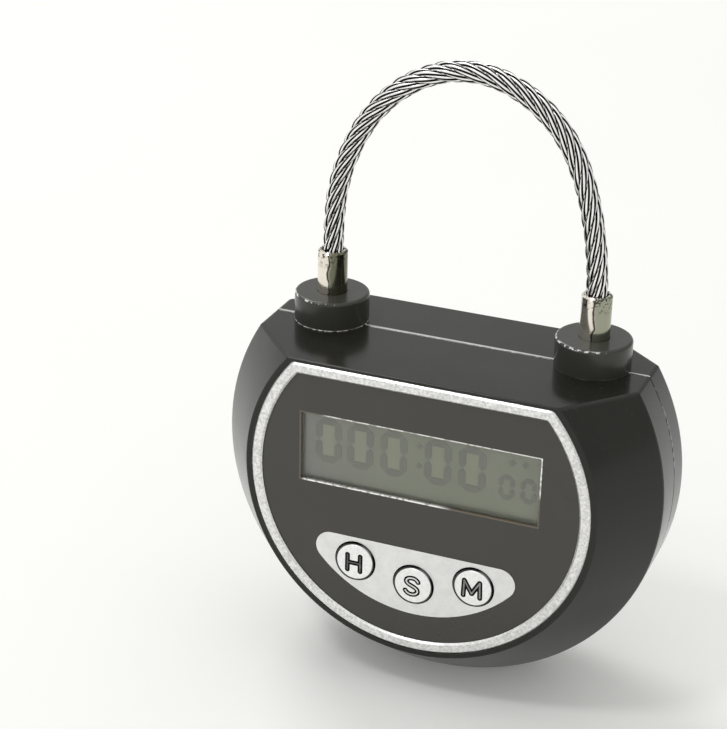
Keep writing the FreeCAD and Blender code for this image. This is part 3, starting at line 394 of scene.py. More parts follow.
def axes(tree, vector):
    """The X, Y and Z of a vector."""
    return add(tree, "ShaderNodeSeparateXYZ", Vector=vector).outputs


def vectors(tree, operation, first, second):
    """One operation on two vectors; its result is called Vector or Value."""
    node = tree.nodes.new("ShaderNodeVectorMath")
    node.operation = operation
    feed(tree, node.inputs[0], first)
    feed(tree, node.inputs[1], second)
    return node.outputs


def noise(tree, place, scale, detail=2.0, stretch=None):
    """Noise between about 0.3 and 0.7, in cells of 1/scale metres."""
    if stretch:
        place = add(tree, "ShaderNodeMapping", Vector=place, Scale=stretch).outputs["Vector"]
    node = add(tree, "ShaderNodeTexNoise", Vector=place, Scale=scale, Detail=detail)
    return node.outputs["Fac"]


# %% [markdown]
# ## Effects that many finishes share
#
# Grain, scratches, smudges, dust and worn edges come back on almost every piece, each with its
# own strength. Each is a node group: the nodes are made once, and a finish that uses the group
# only gives it values. A group puts out a mask or a height, never a finished surface, because
# what a scratch does depends on what it is in.

# %% Start a group
def new_group(name, output, **inputs):
    """A group with one output: the group, its inputs' sockets and the socket of its output."""
    group = bpy.data.node_groups.new(name, "ShaderNodeTree")
    for title, value in inputs.items():
        socket = group.interface.new_socket(title, in_out="INPUT", socket_type="NodeSocketFloat")
        socket.default_value = value
    group.interface.new_socket(output, in_out="OUTPUT", socket_type="NodeSocketFloat")
    given = group.nodes.new("NodeGroupInput").outputs
    result = group.nodes.new("NodeGroupOutput").inputs[output]
    return group, given, result


def use(tree, group, **inputs):
    """Place a group in a finish and give back its output."""
    node = tree.nodes.new("ShaderNodeGroup")
    node.node_tree = group
    for name, value in inputs.items():
        feed(tree, node.inputs[name], value)
    return node.outputs[0]


# %% [markdown]
# Grain is the fine unevenness of a moulded or cast skin: two sizes of noise added together. It
# feeds both a slight change of colour and the height of a bump.

# %% Grain group
BROAD_GRAIN = 0.22       # scale of the broad noise, as a share of the fine one's

grain, given, result = new_group("grain", "Height", Scale=900.0, Coarse=0.35)
place = surface_place(grain)
fine = noise(grain, place, given["Scale"], 3.0)
broad = noise(grain, place, times(grain, given["Scale"], BROAD_GRAIN))
feed(grain, result, plus(grain, fine, times(grain, minus(grain, broad, 0.5), given["Coarse"])))
print("grain:", len(grain.nodes), "nodes")

# %% [markdown]
# Hairline scratches are noise that is stretched so far in one direction that its cells become
# lines. Only the middle of its range is kept, which makes the lines thin, and two directions
# cross. A broad noise keeps them to patches.

# %% Scratches group
SCRATCH_WAYS = [         # how a set of lines is turned, and along which axis it is drawn out
    ((0.3, 0.5, 0.9), (1, 0.04, 1)),
    ((0.8, 0.2, 2.1), (1, 1, 0.05)),
]
LINE_HALF = 0.012        # how much of the noise's range is kept, to each side of its middle
PATCH_SCALE = 90.0

scratches, given, result = new_group("scratches", "Mask", Scale=260.0, Amount=0.5)
place = surface_place(scratches)
found = []
for tilt, stretch in SCRATCH_WAYS:
    turned = add(scratches, "ShaderNodeMapping", Vector=place, Rotation=tilt).outputs["Vector"]
    field = noise(scratches, turned, given["Scale"], stretch=stretch)
    found.append(remap(scratches, apart(scratches, field, 0.5), 0.0, LINE_HALF, 1.0, 0.0))
patches = remap(scratches, noise(scratches, place, PATCH_SCALE), 0.5, 0.68)
feed(scratches, result, times(scratches, largest(scratches, *found), patches, given["Amount"]))
print("scratches:", len(scratches.nodes), "nodes")

# %% [markdown]
# Smudges are where fingers left the skin a little duller: broad noise, bent by a second noise
# so that its patches have soft, drawn-out edges.

# %% Smudges group
BEND_SCALE = 130.0
BEND_REACH = 0.012       # how far, in metres, a place is moved at most

smudges, given, result = new_group("smudges", "Mask", Scale=70.0)
place = surface_place(smudges)
bend = add(smudges, "ShaderNodeTexNoise", Vector=place, Scale=BEND_SCALE, Detail=1.0)
shift = vectors(smudges, "MULTIPLY", bend.outputs["Color"], (BEND_REACH,) * 3)["Vector"]
place = vectors(smudges, "ADD", place, shift)["Vector"]
feed(smudges, result, remap(smudges, noise(smudges, place, given["Scale"], 3.0), 0.38, 0.66))
print("smudges:", len(smudges.nodes), "nodes")

# %% [markdown]
# Dust settles on faces that look up. The mask is the upward part of the surface's direction
# times small specks of noise, over a thin film that is nowhere stronger than a quarter.

# %% Dust group
FILM_SCALE = 120.0
FILM_SHARE = 0.25

dust, given, result = new_group("dust", "Mask", Scale=1500.0, Amount=0.5)
facing = dust.nodes.new("ShaderNodeNewGeometry").outputs["Normal"]
upward = remap(dust, axes(dust, facing)["Z"], 0.2, 1.0)
place = surface_place(dust)
specks = remap(dust, noise(dust, place, given["Scale"], 1.0), 0.66, 0.72)
film = remap(dust, noise(dust, place, FILM_SCALE, 3.0), 0.4, 0.7, 0.0, FILM_SHARE)
feed(dust, result, times(dust, upward, largest(dust, specks, film), given["Amount"]))
print("dust:", len(dust.nodes), "nodes")

# %% [markdown]
# Edges wear first. The Bevel node gives the surface's direction as if its edges were rounded,
# so where that differs from the true direction an edge is near. Noise breaks the band up.

# %% Worn edge group
BEVEL_SAMPLES = 4

worn_edge, given, result = new_group("worn_edge", "Mask", Radius=0.0002, Breakup=600.0)
rounded = add(worn_edge, "ShaderNodeBevel", Radius=given["Radius"])
rounded.samples = BEVEL_SAMPLES
facing = worn_edge.nodes.new("ShaderNodeNewGeometry").outputs["Normal"]
alike = vectors(worn_edge, "DOT_PRODUCT", rounded.outputs["Normal"], facing)["Value"]
broken = noise(worn_edge, surface_place(worn_edge), given["Breakup"], 3.0)
feed(worn_edge, result, times(worn_edge, remap(worn_edge, alike, 0.998, 0.9),
                              remap(worn_edge, broken, 0.4, 0.6)))
print("worn edge:", len(worn_edge.nodes), "nodes")

# %% [markdown]
# Brushing leaves fine streaks along one axis: noise that is stretched along it. The three
# numbers of the streak's direction are set to a small value for the axis along which it runs.

# %% Brushed group
brushed, given, result = new_group("brushed", "Height", Scale=1800.0, X=1.0, Y=1.0, Z=1.0)
stretch = add(brushed, "ShaderNodeCombineXYZ", X=given["X"], Y=given["Y"], Z=given["Z"])
drawn = noise(brushed, surface_place(brushed), given["Scale"], 3.0, stretch.outputs["Vector"])
feed(brushed, result, drawn)
print("brushed:", len(brushed.nodes), "nodes")

# %% [markdown]
# ## Starting a finish
#
# Every finish starts with Blender's Principled shader and ends with a roughness and a relief.
# The roughness is a plain value with small parts added to it. The relief goes through a Bump
# node, which tilts the surface's direction as hills of that height would.

# %% Start a finish
DUST_COLOUR = (0.42, 0.40, 0.36)
finishes = {}


def new_finish(name):
    """Start a finish; gives back its node tree and the inputs of its shader."""
    finish = bpy.data.materials.new(name)
    finish.use_nodes = True
    finishes[name] = finish
    return finish.node_tree, finish.node_tree.nodes["Principled BSDF"].inputs


def set_roughness(tree, shader, *parts):
    """Feed the sum of the parts to the roughness, kept between 0 and 1."""
    rough = maths(tree, "ADD", plus(tree, *parts[:-1]), parts[-1], clamp=True)
    feed(tree, shader["Roughness"], rough)


def set_relief(tree, shader, height, metres, strength):
    """Bump the surface; a height of 1 stands for so many metres."""
    bump = add(tree, "ShaderNodeBump", Height=height, Distance=metres, Strength=strength)
    feed(tree, shader["Normal"], bump.outputs["Normal"])


def scaled(colour, factor):
    return tuple(part * factor for part in colour)


# %% [markdown]
# ## Finish: plastic
#
# Moulded plastic has one colour all through. What makes it look real is its skin: a very fine
# grain, a roughness that changes where it was touched, a few hairlines that catch the light,
# edges that are lighter from wear, on the case also from a painted highlight, and dust on top.

# %% Plastic
GRAIN_TONE, GRAIN_SHARE = 0.75, 0.3     # tone of the grain's hollows, and how far it goes
TOUCH_TONE, TOUCH_SHARE = 1.5, 0.2
EDGE_SHARE = 0.5
LINE_ROUGHNESS, LINE_DEPTH = 0.08, 0.6  # of the scratches
DUST_ROUGHNESS = 0.35


def plastic(name, colour, roughness, smudge=0.1, grain_scale=900.0, relief=0.00001,
            scratch=0.5, edge_tone=1.8, dusty=0.4, gloss=0.5):
    """A moulded skin; edge_tone brightens the colour at worn edges, and on the case also as a
    painted highlight.
    """
    tree, shader = new_finish(name)
    shader["Specular IOR Level"].default_value = gloss
    skin = use(tree, grain, Scale=grain_scale)
    touched = use(tree, smudges)
    lines = use(tree, scratches, Amount=scratch)
    settled = use(tree, dust, Amount=dusty)
    edge = use(tree, worn_edge)
    tone = blended(tree, times(tree, skin, GRAIN_SHARE), colour, scaled(colour, GRAIN_TONE))
    tone = blended(tree, times(tree, touched, TOUCH_SHARE), tone, scaled(colour, TOUCH_TONE))
    tone = blended(tree, times(tree, edge, EDGE_SHARE), tone, scaled(colour, edge_tone))
    feed(tree, shader["Base Color"], blended(tree, settled, tone, DUST_COLOUR))
    set_roughness(tree, shader, roughness, times(tree, touched, smudge),
                  times(tree, lines, LINE_ROUGHNESS), times(tree, settled, DUST_ROUGHNESS))
    height = minus(tree, skin, times(tree, lines, LINE_DEPTH))
    set_relief(tree, shader, height, relief, strength=0.6)


# %% [markdown]
# ## Finish: metal
#
# A metal's colour is the colour of what it mirrors, so its own colour only tints and dims. The
# finish mixes two tones of the metal by noise, lets streaks and smudges change the roughness,
# and cuts the streaks in as relief.

# %% Metal
METAL_SMUDGE_SCALE = 110.0
METAL_SCRATCHES, METAL_LINE_DEPTH = 0.6, 0.5
METAL_EDGE_RADIUS, METAL_EDGE_TONE = 0.0001, 1.15
METAL_DUST, METAL_DUST_ROUGHNESS = 0.15, 0.3


def metal(name, colour, shade, roughness, spread=0.12, streaks=(1.0, 1.0, 1.0),
          streak_scale=1800.0, relief=0.000004, patch_scale=200.0):
    """A metal between two tones; streaks are the three numbers of the brushed group."""
    tree, shader = new_finish(name)
    shader["Metallic"].default_value = 1.0
    cut = use(tree, brushed, Scale=streak_scale, X=streaks[0], Y=streaks[1], Z=streaks[2])
    touched = use(tree, smudges, Scale=METAL_SMUDGE_SCALE)
    lines = use(tree, scratches, Amount=METAL_SCRATCHES)
    edge = use(tree, worn_edge, Radius=METAL_EDGE_RADIUS)
    settled = use(tree, dust, Amount=METAL_DUST)
    patches = remap(tree, noise(tree, surface_place(tree), patch_scale, 4.0), 0.35, 0.65)
    light = tuple(min(1, part) for part in scaled(colour, METAL_EDGE_TONE))
    tone = blended(tree, times(tree, plus(tree, patches, cut), 0.5), colour, shade)
    tone = blended(tree, edge, tone, light)
    feed(tree, shader["Base Color"], blended(tree, settled, tone, DUST_COLOUR))
    set_roughness(tree, shader, roughness, times(tree, minus(tree, cut, 0.5), spread),
                  times(tree, touched, spread / 2), times(tree, settled, METAL_DUST_ROUGHNESS))
    height = minus(tree, cut, times(tree, lines, METAL_LINE_DEPTH))
    set_relief(tree, shader, height, relief, strength=0.7)


# %% [markdown]
# ## The black case and the bright trim
#
# Case and caps are high-gloss black. The face plate is a warmer black and slightly duller. The
# bezel ring, the key panel and the keys are silver with a fine satin: rough enough to spread a
# reflection, so they stay bright from any side. The ring is also mottled, as cast trim is.

# %% Case and trim finishes
# The case's edge_tone paints its edges lighter: wear, and a painted highlight along them.
plastic("case_black", (0.014, 0.014, 0.011), 0.14, smudge=0.08, relief=0.000004,
        dusty=0.05, edge_tone=11.0, gloss=0.33)
plastic("cap_black", (0.041, 0.041, 0.035), 0.20, smudge=0.08, relief=0.000004,
        dusty=0.05, edge_tone=5.0, gloss=0.4)
plastic("face_black", (0.045, 0.043, 0.036), 0.26, smudge=0.12, dusty=0.05)
metal("trim_silver", (1.0, 1.0, 0.99), (0.48, 0.48, 0.47), 0.34,
      spread=0.14, patch_scale=2800.0, streak_scale=4200.0, relief=0.000012)
metal("panel_silver", (0.84, 0.84, 0.83), (0.72, 0.72, 0.71), 0.38,
      spread=0.10, patch_scale=900.0, streak_scale=3000.0)
metal("key_silver", (0.96, 0.96, 0.95), (0.80, 0.80, 0.79), 0.32,
      spread=0.10, patch_scale=1800.0, streak_scale=3600.0)
metal("ferrule_nickel", (0.86, 0.82, 0.74), (0.72, 0.66, 0.56), 0.10,
      spread=0.10, streaks=(1, 1, 0.08), streak_scale=2200.0)
print("finishes so far:", sorted(finishes))

# %% [markdown]
# Four of these finishes get a second tone on top, laid over the finished colour so that the
# grain and the scratches stay. The keys are first: each has a dark rim, a painted shade of the
# gap round it, a little wider at the lower left. The rim is every place that is further from
# its key's middle, seen from the front, than the bright part reaches.

# %% Key rims
KEYS = ("hour", "set", "minute")
KEY_BRIGHT = 0.00263     # radius of a key's bright front
RIM_SOFT = 0.00003       # half the width of the rim's soft border
RIM_SHIFT = Vector((0.00013, 0, 0.00016))   # from the key's middle to the bright front's
# colour of the painted shade of the gap, laid on each key's rim
RIM_SHADE = (0.006, 0.006, 0.006)


def middle_of(node):
    low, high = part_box(node)
    return (low + high) / 2


def overlay(tree, mask, colour):
    """Lay a colour over a finish where the mask is 1."""
    socket = tree.nodes["Principled BSDF"].inputs["Base Color"]
    feed(tree, socket, blended(tree, mask, socket.links[0].from_socket, colour))


tree = finishes["key_silver"].node_tree
place = axes(tree, surface_place(tree))
in_front = add(tree, "ShaderNodeCombineXYZ", X=place["X"], Z=place["Z"]).outputs["Vector"]
off_middle = 1.0         # further off than any key
for key in KEYS:
    middle = middle_of(f"key_{key}") + RIM_SHIFT
    reach = vectors(tree, "DISTANCE", in_front, (middle.x, 0, middle.z))["Value"]
    off_middle = maths(tree, "MINIMUM", off_middle, reach)
painted_rim = remap(tree, off_middle, KEY_BRIGHT - RIM_SOFT, KEY_BRIGHT + RIM_SOFT)
# painted shade: the dark rim stands for the shade of the gap round each key
overlay(tree, painted_rim, RIM_SHADE)
feed(tree, tree.nodes["Principled BSDF"].inputs["Metallic"], minus(tree, 1.0, painted_rim))
print("dark rims on", len(KEYS), "keys")

# %% [markdown]
# On the side of the ferrules that faces right, an olive tone is a painted reflection, darker
# on the left ferrule. A dark line ahead of it is a painted reflection too, and dark specks sit
# under the upper rim. All of it turns with the surface's direction, and noise keeps the borders
# from running straight.

# %% Ferrule painted reflection
FERRULE_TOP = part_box("plug_ferrule")[1].z
REFLECTION_FROM, REFLECTION_TO = 0.12, 0.25   # how far to the right a place has to face
DARK_LINE_CORE, DARK_LINE_HALF = 0.03, 0.10     # half widths of the line, dark and soft
SPECKS_START, SPECKS_FULL = FERRULE_TOP - 0.0025, FERRULE_TOP - 0.001

tree = finishes["ferrule_nickel"].node_tree
place = surface_place(tree)
uneven = minus(tree, noise(tree, place, 500.0, 3.0), 0.5)
rightward = plus(tree, axes(tree, surface_facing(tree))["X"], times(tree, uneven, 0.5))
other_end = remap(tree, axes(tree, place)["X"], -0.001, 0.001)
painted_reflection = blended(tree, other_end, (0.15, 0.15, 0.105), (0.31, 0.32, 0.245))
# painted reflection: olive on the side that faces right
overlay(tree, remap(tree, rightward, REFLECTION_FROM, REFLECTION_TO), painted_reflection)
# painted reflection: a dark line along the border of the olive
dark_reflection_line = remap(tree, apart(tree, rightward, REFLECTION_FROM), DARK_LINE_HALF, DARK_LINE_CORE)
overlay(tree, dark_reflection_line, (0.05, 0.045, 0.035))
dark_specks = remap(tree, noise(tree, place, 2400.0), 0.54, 0.60)
near_rim = remap(tree, axes(tree, place)["Z"], SPECKS_START, SPECKS_FULL)
overlay(tree, times(tree, dark_specks, near_rim), (0.06, 0.055, 0.045))
print("ferrules:", len(tree.nodes), "nodes")

# %% [markdown]
# Where the two shells of the case meet, a painted highlight runs as a bright line on the back
# one's edge. On the flat top, which faces the light, it is almost whole. Round the sides only
# broken spots of it show.

# %% Case seam
SEAM = 0.0017            # depth of the joint between the shells
SEAM_HALF = 0.00027      # half the width of the bright line behind it
SEAM_CORE = 0.00018      # the same for its middle, where it is brightest
TOP_SHARE, SIDE_SHARE = 0.85, 0.3

tree = finishes["case_black"].node_tree
place = surface_place(tree)
broken_spots = remap(tree, noise(tree, place, 1300.0), 0.50, 0.62, 0.0, SIDE_SHARE)
upward = remap(tree, axes(tree, surface_facing(tree))["Z"], 0.8, 0.95, 0.0, TOP_SHARE)
beside = apart(tree, axes(tree, place)["Y"], SEAM + SEAM_HALF)
seam_highlight = remap(tree, beside, SEAM_HALF, SEAM_CORE)
# painted highlight along the seam, fuller on the top
overlay(tree, times(tree, seam_highlight, largest(tree, broken_spots, upward)), (0.72, 0.72, 0.69))
print("seam line:", 2000 * SEAM_HALF, "mm wide")

# %% [markdown]
# The caps' upper rims carry a painted highlight on the left and in front, the glint of the small
# lamp there. A rim is rounded, so it is found by its direction, half way between up and out.

# %% Cap rims
RIM_UPWARD = 0.6         # upward part of the direction in the middle of the rounding
RIM_CORE, RIM_HALF = 0.15, 0.30         # how far from it a rim is whole, and where it ends
FRONT_SHARE = 0.8        # how much facing front counts, beside facing left

tree = finishes["cap_black"].node_tree
facing = axes(tree, surface_facing(tree))
painted_rim = remap(tree, apart(tree, facing["Z"], RIM_UPWARD), RIM_HALF, RIM_CORE)
facing_glint_lamp = plus(tree, facing["X"], times(tree, facing["Y"], FRONT_SHARE))
broken_spots = remap(tree, noise(tree, surface_place(tree), 1500.0), 0.50, 0.56)
painted_rim = times(tree, painted_rim, remap(tree, facing_glint_lamp, -0.05, -0.3), broken_spots)
# painted highlight: a broken glint on the rounded rim
overlay(tree, painted_rim, (0.80, 0.80, 0.78))
print("caps:", len(tree.nodes), "nodes")

# %% [markdown]
# ## The rope's finish
#
# Bright steel wire, dark between the wires: oil and dirt sit there, and shade is painted in.
# The ridge number on each point tells how near it is to a wire's flank, where the colour goes
# dark and dull.

# %% Rope finish
# outside this ridge a wire has neither painted shade nor dirt
CLEAN_UNSHADED_RIDGE = 0.78       # from here outwards a wire is clean
BLACK_RIDGE = 0.52       # from here inwards it is black

tree, shader = new_finish("rope_steel")
shader["Metallic"].default_value = 1.0
on_ridge = tree.nodes.new("ShaderNodeAttribute")
on_ridge.attribute_name = "ridge"
depth = remap(tree, on_ridge.outputs["Fac"], CLEAN_UNSHADED_RIDGE, BLACK_RIDGE)
stain = remap(tree, noise(tree, surface_place(tree), 900.0, 3.0), 0.42, 0.7, 0.0, 0.15)
drawn = use(tree, brushed, Scale=2600.0, Z=0.2)
steel = blended(tree, drawn, (1.0, 0.995, 0.98), (0.90, 0.895, 0.88))
steel = blended(tree, stain, steel, (0.46, 0.45, 0.41))
# near black between the wires: painted shade, with oil and dirt
feed(tree, shader["Base Color"], blended(tree, depth, steel, (0.012, 0.012, 0.011)))
set_roughness(tree, shader, 0.22, times(tree, drawn, 0.12), times(tree, depth, 0.35))
set_relief(tree, shader, drawn, 0.000004, strength=0.5)
rope.data.materials.append(finishes["rope_steel"])
print("rope:", len(tree.nodes), "nodes")

# %% [markdown]
# ## Finishes inside the case
#
# The pieces inside only show when the plug is drawn out or the case is opened, but they are
# finished too: turned and plated steel, cast zinc, moulded switches, and so on.

# %% Inner finishes
plastic("holder_white", (0.80, 0.79, 0.76), 0.42, edge_tone=1.1)
plastic("chip_black", (0.022, 0.022, 0.024), 0.55, grain_scale=2600.0, relief=0.00002)
plastic("switch_black", (0.03, 0.03, 0.03), 0.45, grain_scale=1600.0)
plastic("plunger_white", (0.74, 0.73, 0.70), 0.38, edge_tone=1.1)
plastic("foam_black", (0.03, 0.03, 0.03), 0.85, grain_scale=1400.0, relief=0.0002,
        scratch=0.0, edge_tone=1.3)
metal("screw_steel", (0.62, 0.62, 0.61), (0.48, 0.48, 0.47), 0.28, streak_scale=2200.0)
metal("pin_steel", (0.70, 0.70, 0.69), (0.56, 0.56, 0.55), 0.20,
      streaks=(0.3, 0.3, 6.0), streak_scale=900.0)
metal("zinc_cast", (0.52, 0.52, 0.53), (0.38, 0.38, 0.39), 0.42,
      streak_scale=900.0, relief=0.00002)
metal("socket_steel", (0.72, 0.72, 0.72), (0.60, 0.60, 0.60), 0.24, streaks=(0.05, 1, 1))
metal("motor_steel", (0.64, 0.64, 0.63), (0.52, 0.52, 0.51), 0.26,
      streaks=(4.0, 0.3, 0.3), streak_scale=900.0)
metal("battery_wrap", (0.68, 0.69, 0.70), (0.58, 0.59, 0.60), 0.36,
      streak_scale=400.0, relief=0.00006, patch_scale=120.0)
print("finishes so far:", len(finishes))

# %% [markdown]
# The circuit board is green lacquer over copper. Bricks make a fair pattern of straight copper
# runs: their mortar is the lacquer and they are the copper, slightly raised under it.

# %% Board
tree, shader = new_finish("board_green")
place = surface_place(tree)
upright = add(tree, "ShaderNodeMapping", Vector=place, Rotation=(math.pi / 2, 0, 0))
gaps = add(tree, "ShaderNodeTexBrick", Vector=upright.outputs["Vector"], Scale=260.0,
           Mortar_Size=0.03, Brick_Width=1.6, Row_Height=0.28).outputs["Fac"]
weave = noise(tree, place, 2400.0)
copper = blended(tree, weave, (0.03, 0.24, 0.10), (0.04, 0.30, 0.13))
lacquer = blended(tree, weave, (0.012, 0.13, 0.055), (0.02, 0.17, 0.075))
feed(tree, shader["Base Color"], blended(tree, gaps, copper, lacquer))
feed(tree, shader["Roughness"], remap(tree, weave, 0.3, 0.7, 0.25, 0.45))
set_relief(tree, shader, minus(tree, 1.0, gaps), 0.00003, strength=0.8)
print("board:", len(tree.nodes), "nodes")

# %% [markdown]
# The strips between display and board are pink silicone with upright black stripes of carbon,
# each of which carries one signal. A sine along the strip gives stripes of even width.

# %% Contact strips
STRIPE_PITCH = 0.00025

tree, shader = new_finish("contact_rubber")
across = axes(tree, surface_place(tree))["X"]
wave = maths(tree, "SINE", times(tree, across, 2 * math.pi / STRIPE_PITCH))
silicone = use(tree, grain, Scale=1500.0)
pink = blended(tree, silicone, (0.60, 0.36, 0.34), (0.50, 0.30, 0.28))
carbon = remap(tree, wave, -0.3, 0.3)
feed(tree, shader["Base Color"], blended(tree, carbon, pink, (0.02, 0.02, 0.02)))
feed(tree, shader["Roughness"], remap(tree, silicone, 0.3, 0.7, 0.55, 0.75))
set_relief(tree, shader, silicone, 0.00002, strength=0.6)
print("strips:", round(0.001 / STRIPE_PITCH), "stripes to a millimetre")

# %% [markdown]
# ## The display
#
# A display of this kind is grey-green in the light and has no lamp of its own. Its cell is a
# little uneven: greyer towards the left, with faint upright bands, and a shade paler inside the
# digits. The digits are only a little darker, as zeros that nobody has set.

# %% Display cell
DIGIT_MIDDLES = (-0.0135, -0.0088, -0.0039, 0.0025, 0.0074)   # of the large digits, along x
PALE_HALF, PALE_CORE = 0.0015, 0.0004   # half widths of a digit's inside, faint and full
PALE_FOOT, PALE_FULL = 0.0333, 0.0348   # heights between which it comes up

tree, shader = new_finish("lcd_cell")
place = surface_place(tree)
across = axes(tree, place)["X"]
bands = noise(tree, place, 420.0, stretch=(1, 1, 0.05))
cloud = noise(tree, place, 130.0, 3.0)
greyer = remap(tree, across, -0.002, -0.016)
cell = blended(tree, greyer, (0.258, 0.275, 0.190), (0.232, 0.232, 0.212))
cell = blended(tree, remap(tree, bands, 0.3, 0.7, 0.0, 0.35), cell, (0.30, 0.315, 0.24))
cell = blended(tree, remap(tree, cloud, 0.35, 0.65, 0.0, 0.3), cell, (0.21, 0.215, 0.175))
pale = 0.0
for middle in DIGIT_MIDDLES:
    inside = remap(tree, apart(tree, across, middle), PALE_HALF, PALE_CORE)
    pale = largest(tree, pale, inside)
pale = times(tree, pale, remap(tree, axes(tree, place)["Z"], PALE_FOOT, PALE_FULL), 0.6)
feed(tree, shader["Base Color"], blended(tree, pale, cell, (0.36, 0.38, 0.255)))
feed(tree, shader["Roughness"], remap(tree, cloud, 0.3, 0.7, 0.28, 0.4))
set_relief(tree, shader, noise(tree, place, 1600.0), 0.000005, strength=0.4)
print("display cell:", len(tree.nodes), "nodes")

# %% [markdown]
# Each digit is seven bars with pointed ends, of which a zero shows six, as thin plates just in
# front of the cell. The bars are drawn from one function that takes the middle, length and
# direction of a bar, so large and small digits use the same code.

# %% Bars and zeros
SEGMENT_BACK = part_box("lcd_glass")[0].y
SEGMENT_THICK = 0.00004
BAR_GAP = 0.12           # between two bars, as a share of their width


def bar(mesh, x, z, length, width, upright=False):
    """One segment with pointed ends, its middle at x and z."""
    half, side = length / 2, width / 2
    outline = [(-half, 0), (side - half, side), (half - side, side), (half, 0),
               (half - side, -side), (side - half, -side)]
    if upright:
        outline = [(-across, along_bar) for along_bar, across in outline]
    front, back = [
        [mesh.verts.new((x + right, depth, z + up)) for right, up in outline]
        for depth in (SEGMENT_BACK - SEGMENT_THICK, SEGMENT_BACK)
    ]
    mesh.faces.new(front)
    mesh.faces.new(list(reversed(back)))
    bridge(mesh, [back, front])


def zero(mesh, x, z, width, height, stroke):
    """The six bars of a 0 on seven segments."""
    gap = stroke * BAR_GAP
    across = width - stroke
    half = (height - stroke) / 2
    for rise in (-half, half):
        bar(mesh, x, z + rise, across - gap, stroke)
    for side in (-across / 2, across / 2):
        for rise in (-half / 2, half / 2):
            bar(mesh, x + side, z + rise, half - gap, stroke, upright=True)


# %% [markdown]
# The display has five large digits with a colon among them, and two small ones lower down at
# the right, under two marks.

# %% Digits
FACE_MIDDLE = 0.032      # height of the case's centre
LARGE = (0.0039, 0.0068, 0.00105)       # width, height and stroke
SMALL = (0.0023, 0.0037, 0.0007)
SMALL_MIDDLES = (0.01235, 0.01545)
COLON = (0.0036, 0.0066)                # heights over the middle
MARKS = ((0.0130, 0.0012), (0.0148, 0.0010))   # x and width

mesh = bmesh.new()
for x in DIGIT_MIDDLES:
    zero(mesh, x, FACE_MIDDLE + 0.0047, *LARGE)
for height in COLON:
    bar(mesh, -0.0002, FACE_MIDDLE + height, 0.0010, 0.0010)
for x in SMALL_MIDDLES:
    zero(mesh, x, FACE_MIDDLE + 0.0031, *SMALL)
for x, width in MARKS:
    bar(mesh, x, FACE_MIDDLE + 0.0069, width, 0.0011)
digits = placed(mesh, "display_digits", smooth=False)
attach(digits, "root")

tree, shader = new_finish("segment_grey")
fade = noise(tree, surface_place(tree), 160.0)
grey = blended(tree, remap(tree, fade, 0.35, 0.65), (0.176, 0.180, 0.151), (0.212, 0.220, 0.176))
feed(tree, shader["Base Color"], grey)
feed(tree, shader["Roughness"], remap(tree, fade, 0.3, 0.7, 0.35, 0.5))
digits.data.materials.append(finishes["segment_grey"])
print("digits:", len(digits.data.polygons), "faces")

# %% [markdown]
# ## The plug's washer
#
# The left cap belongs to the plug. It rests on a thin bright washer, which shows as a line
# under the cap. A washer's edge is slightly round, so its section is a short row of corners,
# carried once round the plug's axis. Dark pits break the line up.

# %% Plug washer
low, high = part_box("plug_cap")
WASHER_HALF = (low.z - FLAT_TOP) / 2
WASHER_RADIUS = (high.x - low.x) / 2
WASHER_STEPS = 96
WASHER_SECTION = [       # out from its edge and up from its middle, in halves of its thickness
    (-14.7, -0.98), (-0.7, -0.98), (0, -0.7), (0.3, 0), (0, 0.7), (-0.7, 0.98), (-14.7, 0.98),
]

mesh = bmesh.new()
middle = middle_of("plug_cap")
middle.z = FLAT_TOP + WASHER_HALF
rims = []
for step in range(WASHER_STEPS):
    turn = 2 * math.pi * step / WASHER_STEPS
    out = Vector((math.cos(turn), math.sin(turn), 0))
    rims.append([
        mesh.verts.new(middle + out * (WASHER_RADIUS + WASHER_HALF * reach)
                       + Vector((0, 0, WASHER_HALF * rise)))
        for reach, rise in WASHER_SECTION
    ])
bridge(mesh, rims + rims[:1])
bmesh.ops.recalc_face_normals(mesh, faces=mesh.faces)
washer = placed(mesh, "plug_washer")
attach(washer, "plug")

tree, shader = new_finish("washer_nickel")
dark_specks = remap(tree, noise(tree, surface_place(tree), 1700.0), 0.44, 0.56)
turning = use(tree, brushed, Scale=2600.0, Z=0.1)
bright = blended(tree, turning, (0.97, 0.96, 0.94), (0.84, 0.83, 0.80))
feed(tree, shader["Base Color"], blended(tree, dark_specks, bright, (0.16, 0.155, 0.14)))
feed(tree, shader["Roughness"], remap(tree, dark_specks, 0.0, 1.0, 0.18, 0.4))
feed(tree, shader["Metallic"], remap(tree, dark_specks, 0.0, 1.0, 0.4, 1.0))
washer.data.materials.append(finishes["washer_nickel"])
print("washer:", round(2 * WASHER_RADIUS, 5), "m wide,", round(2 * WASHER_HALF, 5), "m thick")

# %% [markdown]
# ## The window
#
# The window is a clear acrylic pane behind the opening of the face plate. Clear plastic needs
# a real thickness, or it doesn't bend light, so the pane is a block with rounded edges. It
# stops just short of the digits, because two faces in one place would flicker.

# %% Window pane
PANE_AIR = Vector((0, 0.00008, 0))      # air between the pane and the display
PANE_SLIP = Vector((0.00002, 0.00001, 0.00002))
PANE_ROUND = 0.00008
ACRYLIC_IOR = 1.49

low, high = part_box("display_pane")
size = high - low - PANE_AIR - PANE_SLIP
whole = Matrix.Translation((low + high - PANE_AIR) / 2) @ Matrix.Diagonal(size).to_4x4()
mesh = bmesh.new()
bmesh.ops.create_cube(mesh, size=1, matrix=whole)
bmesh.ops.bevel(mesh, geom=mesh.edges[:], offset=PANE_ROUND, segments=2, affect="EDGES",
                profile=0.5)
pane = placed(mesh, "window_pane", smooth=False)
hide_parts("display_pane")
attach(pane, "root")

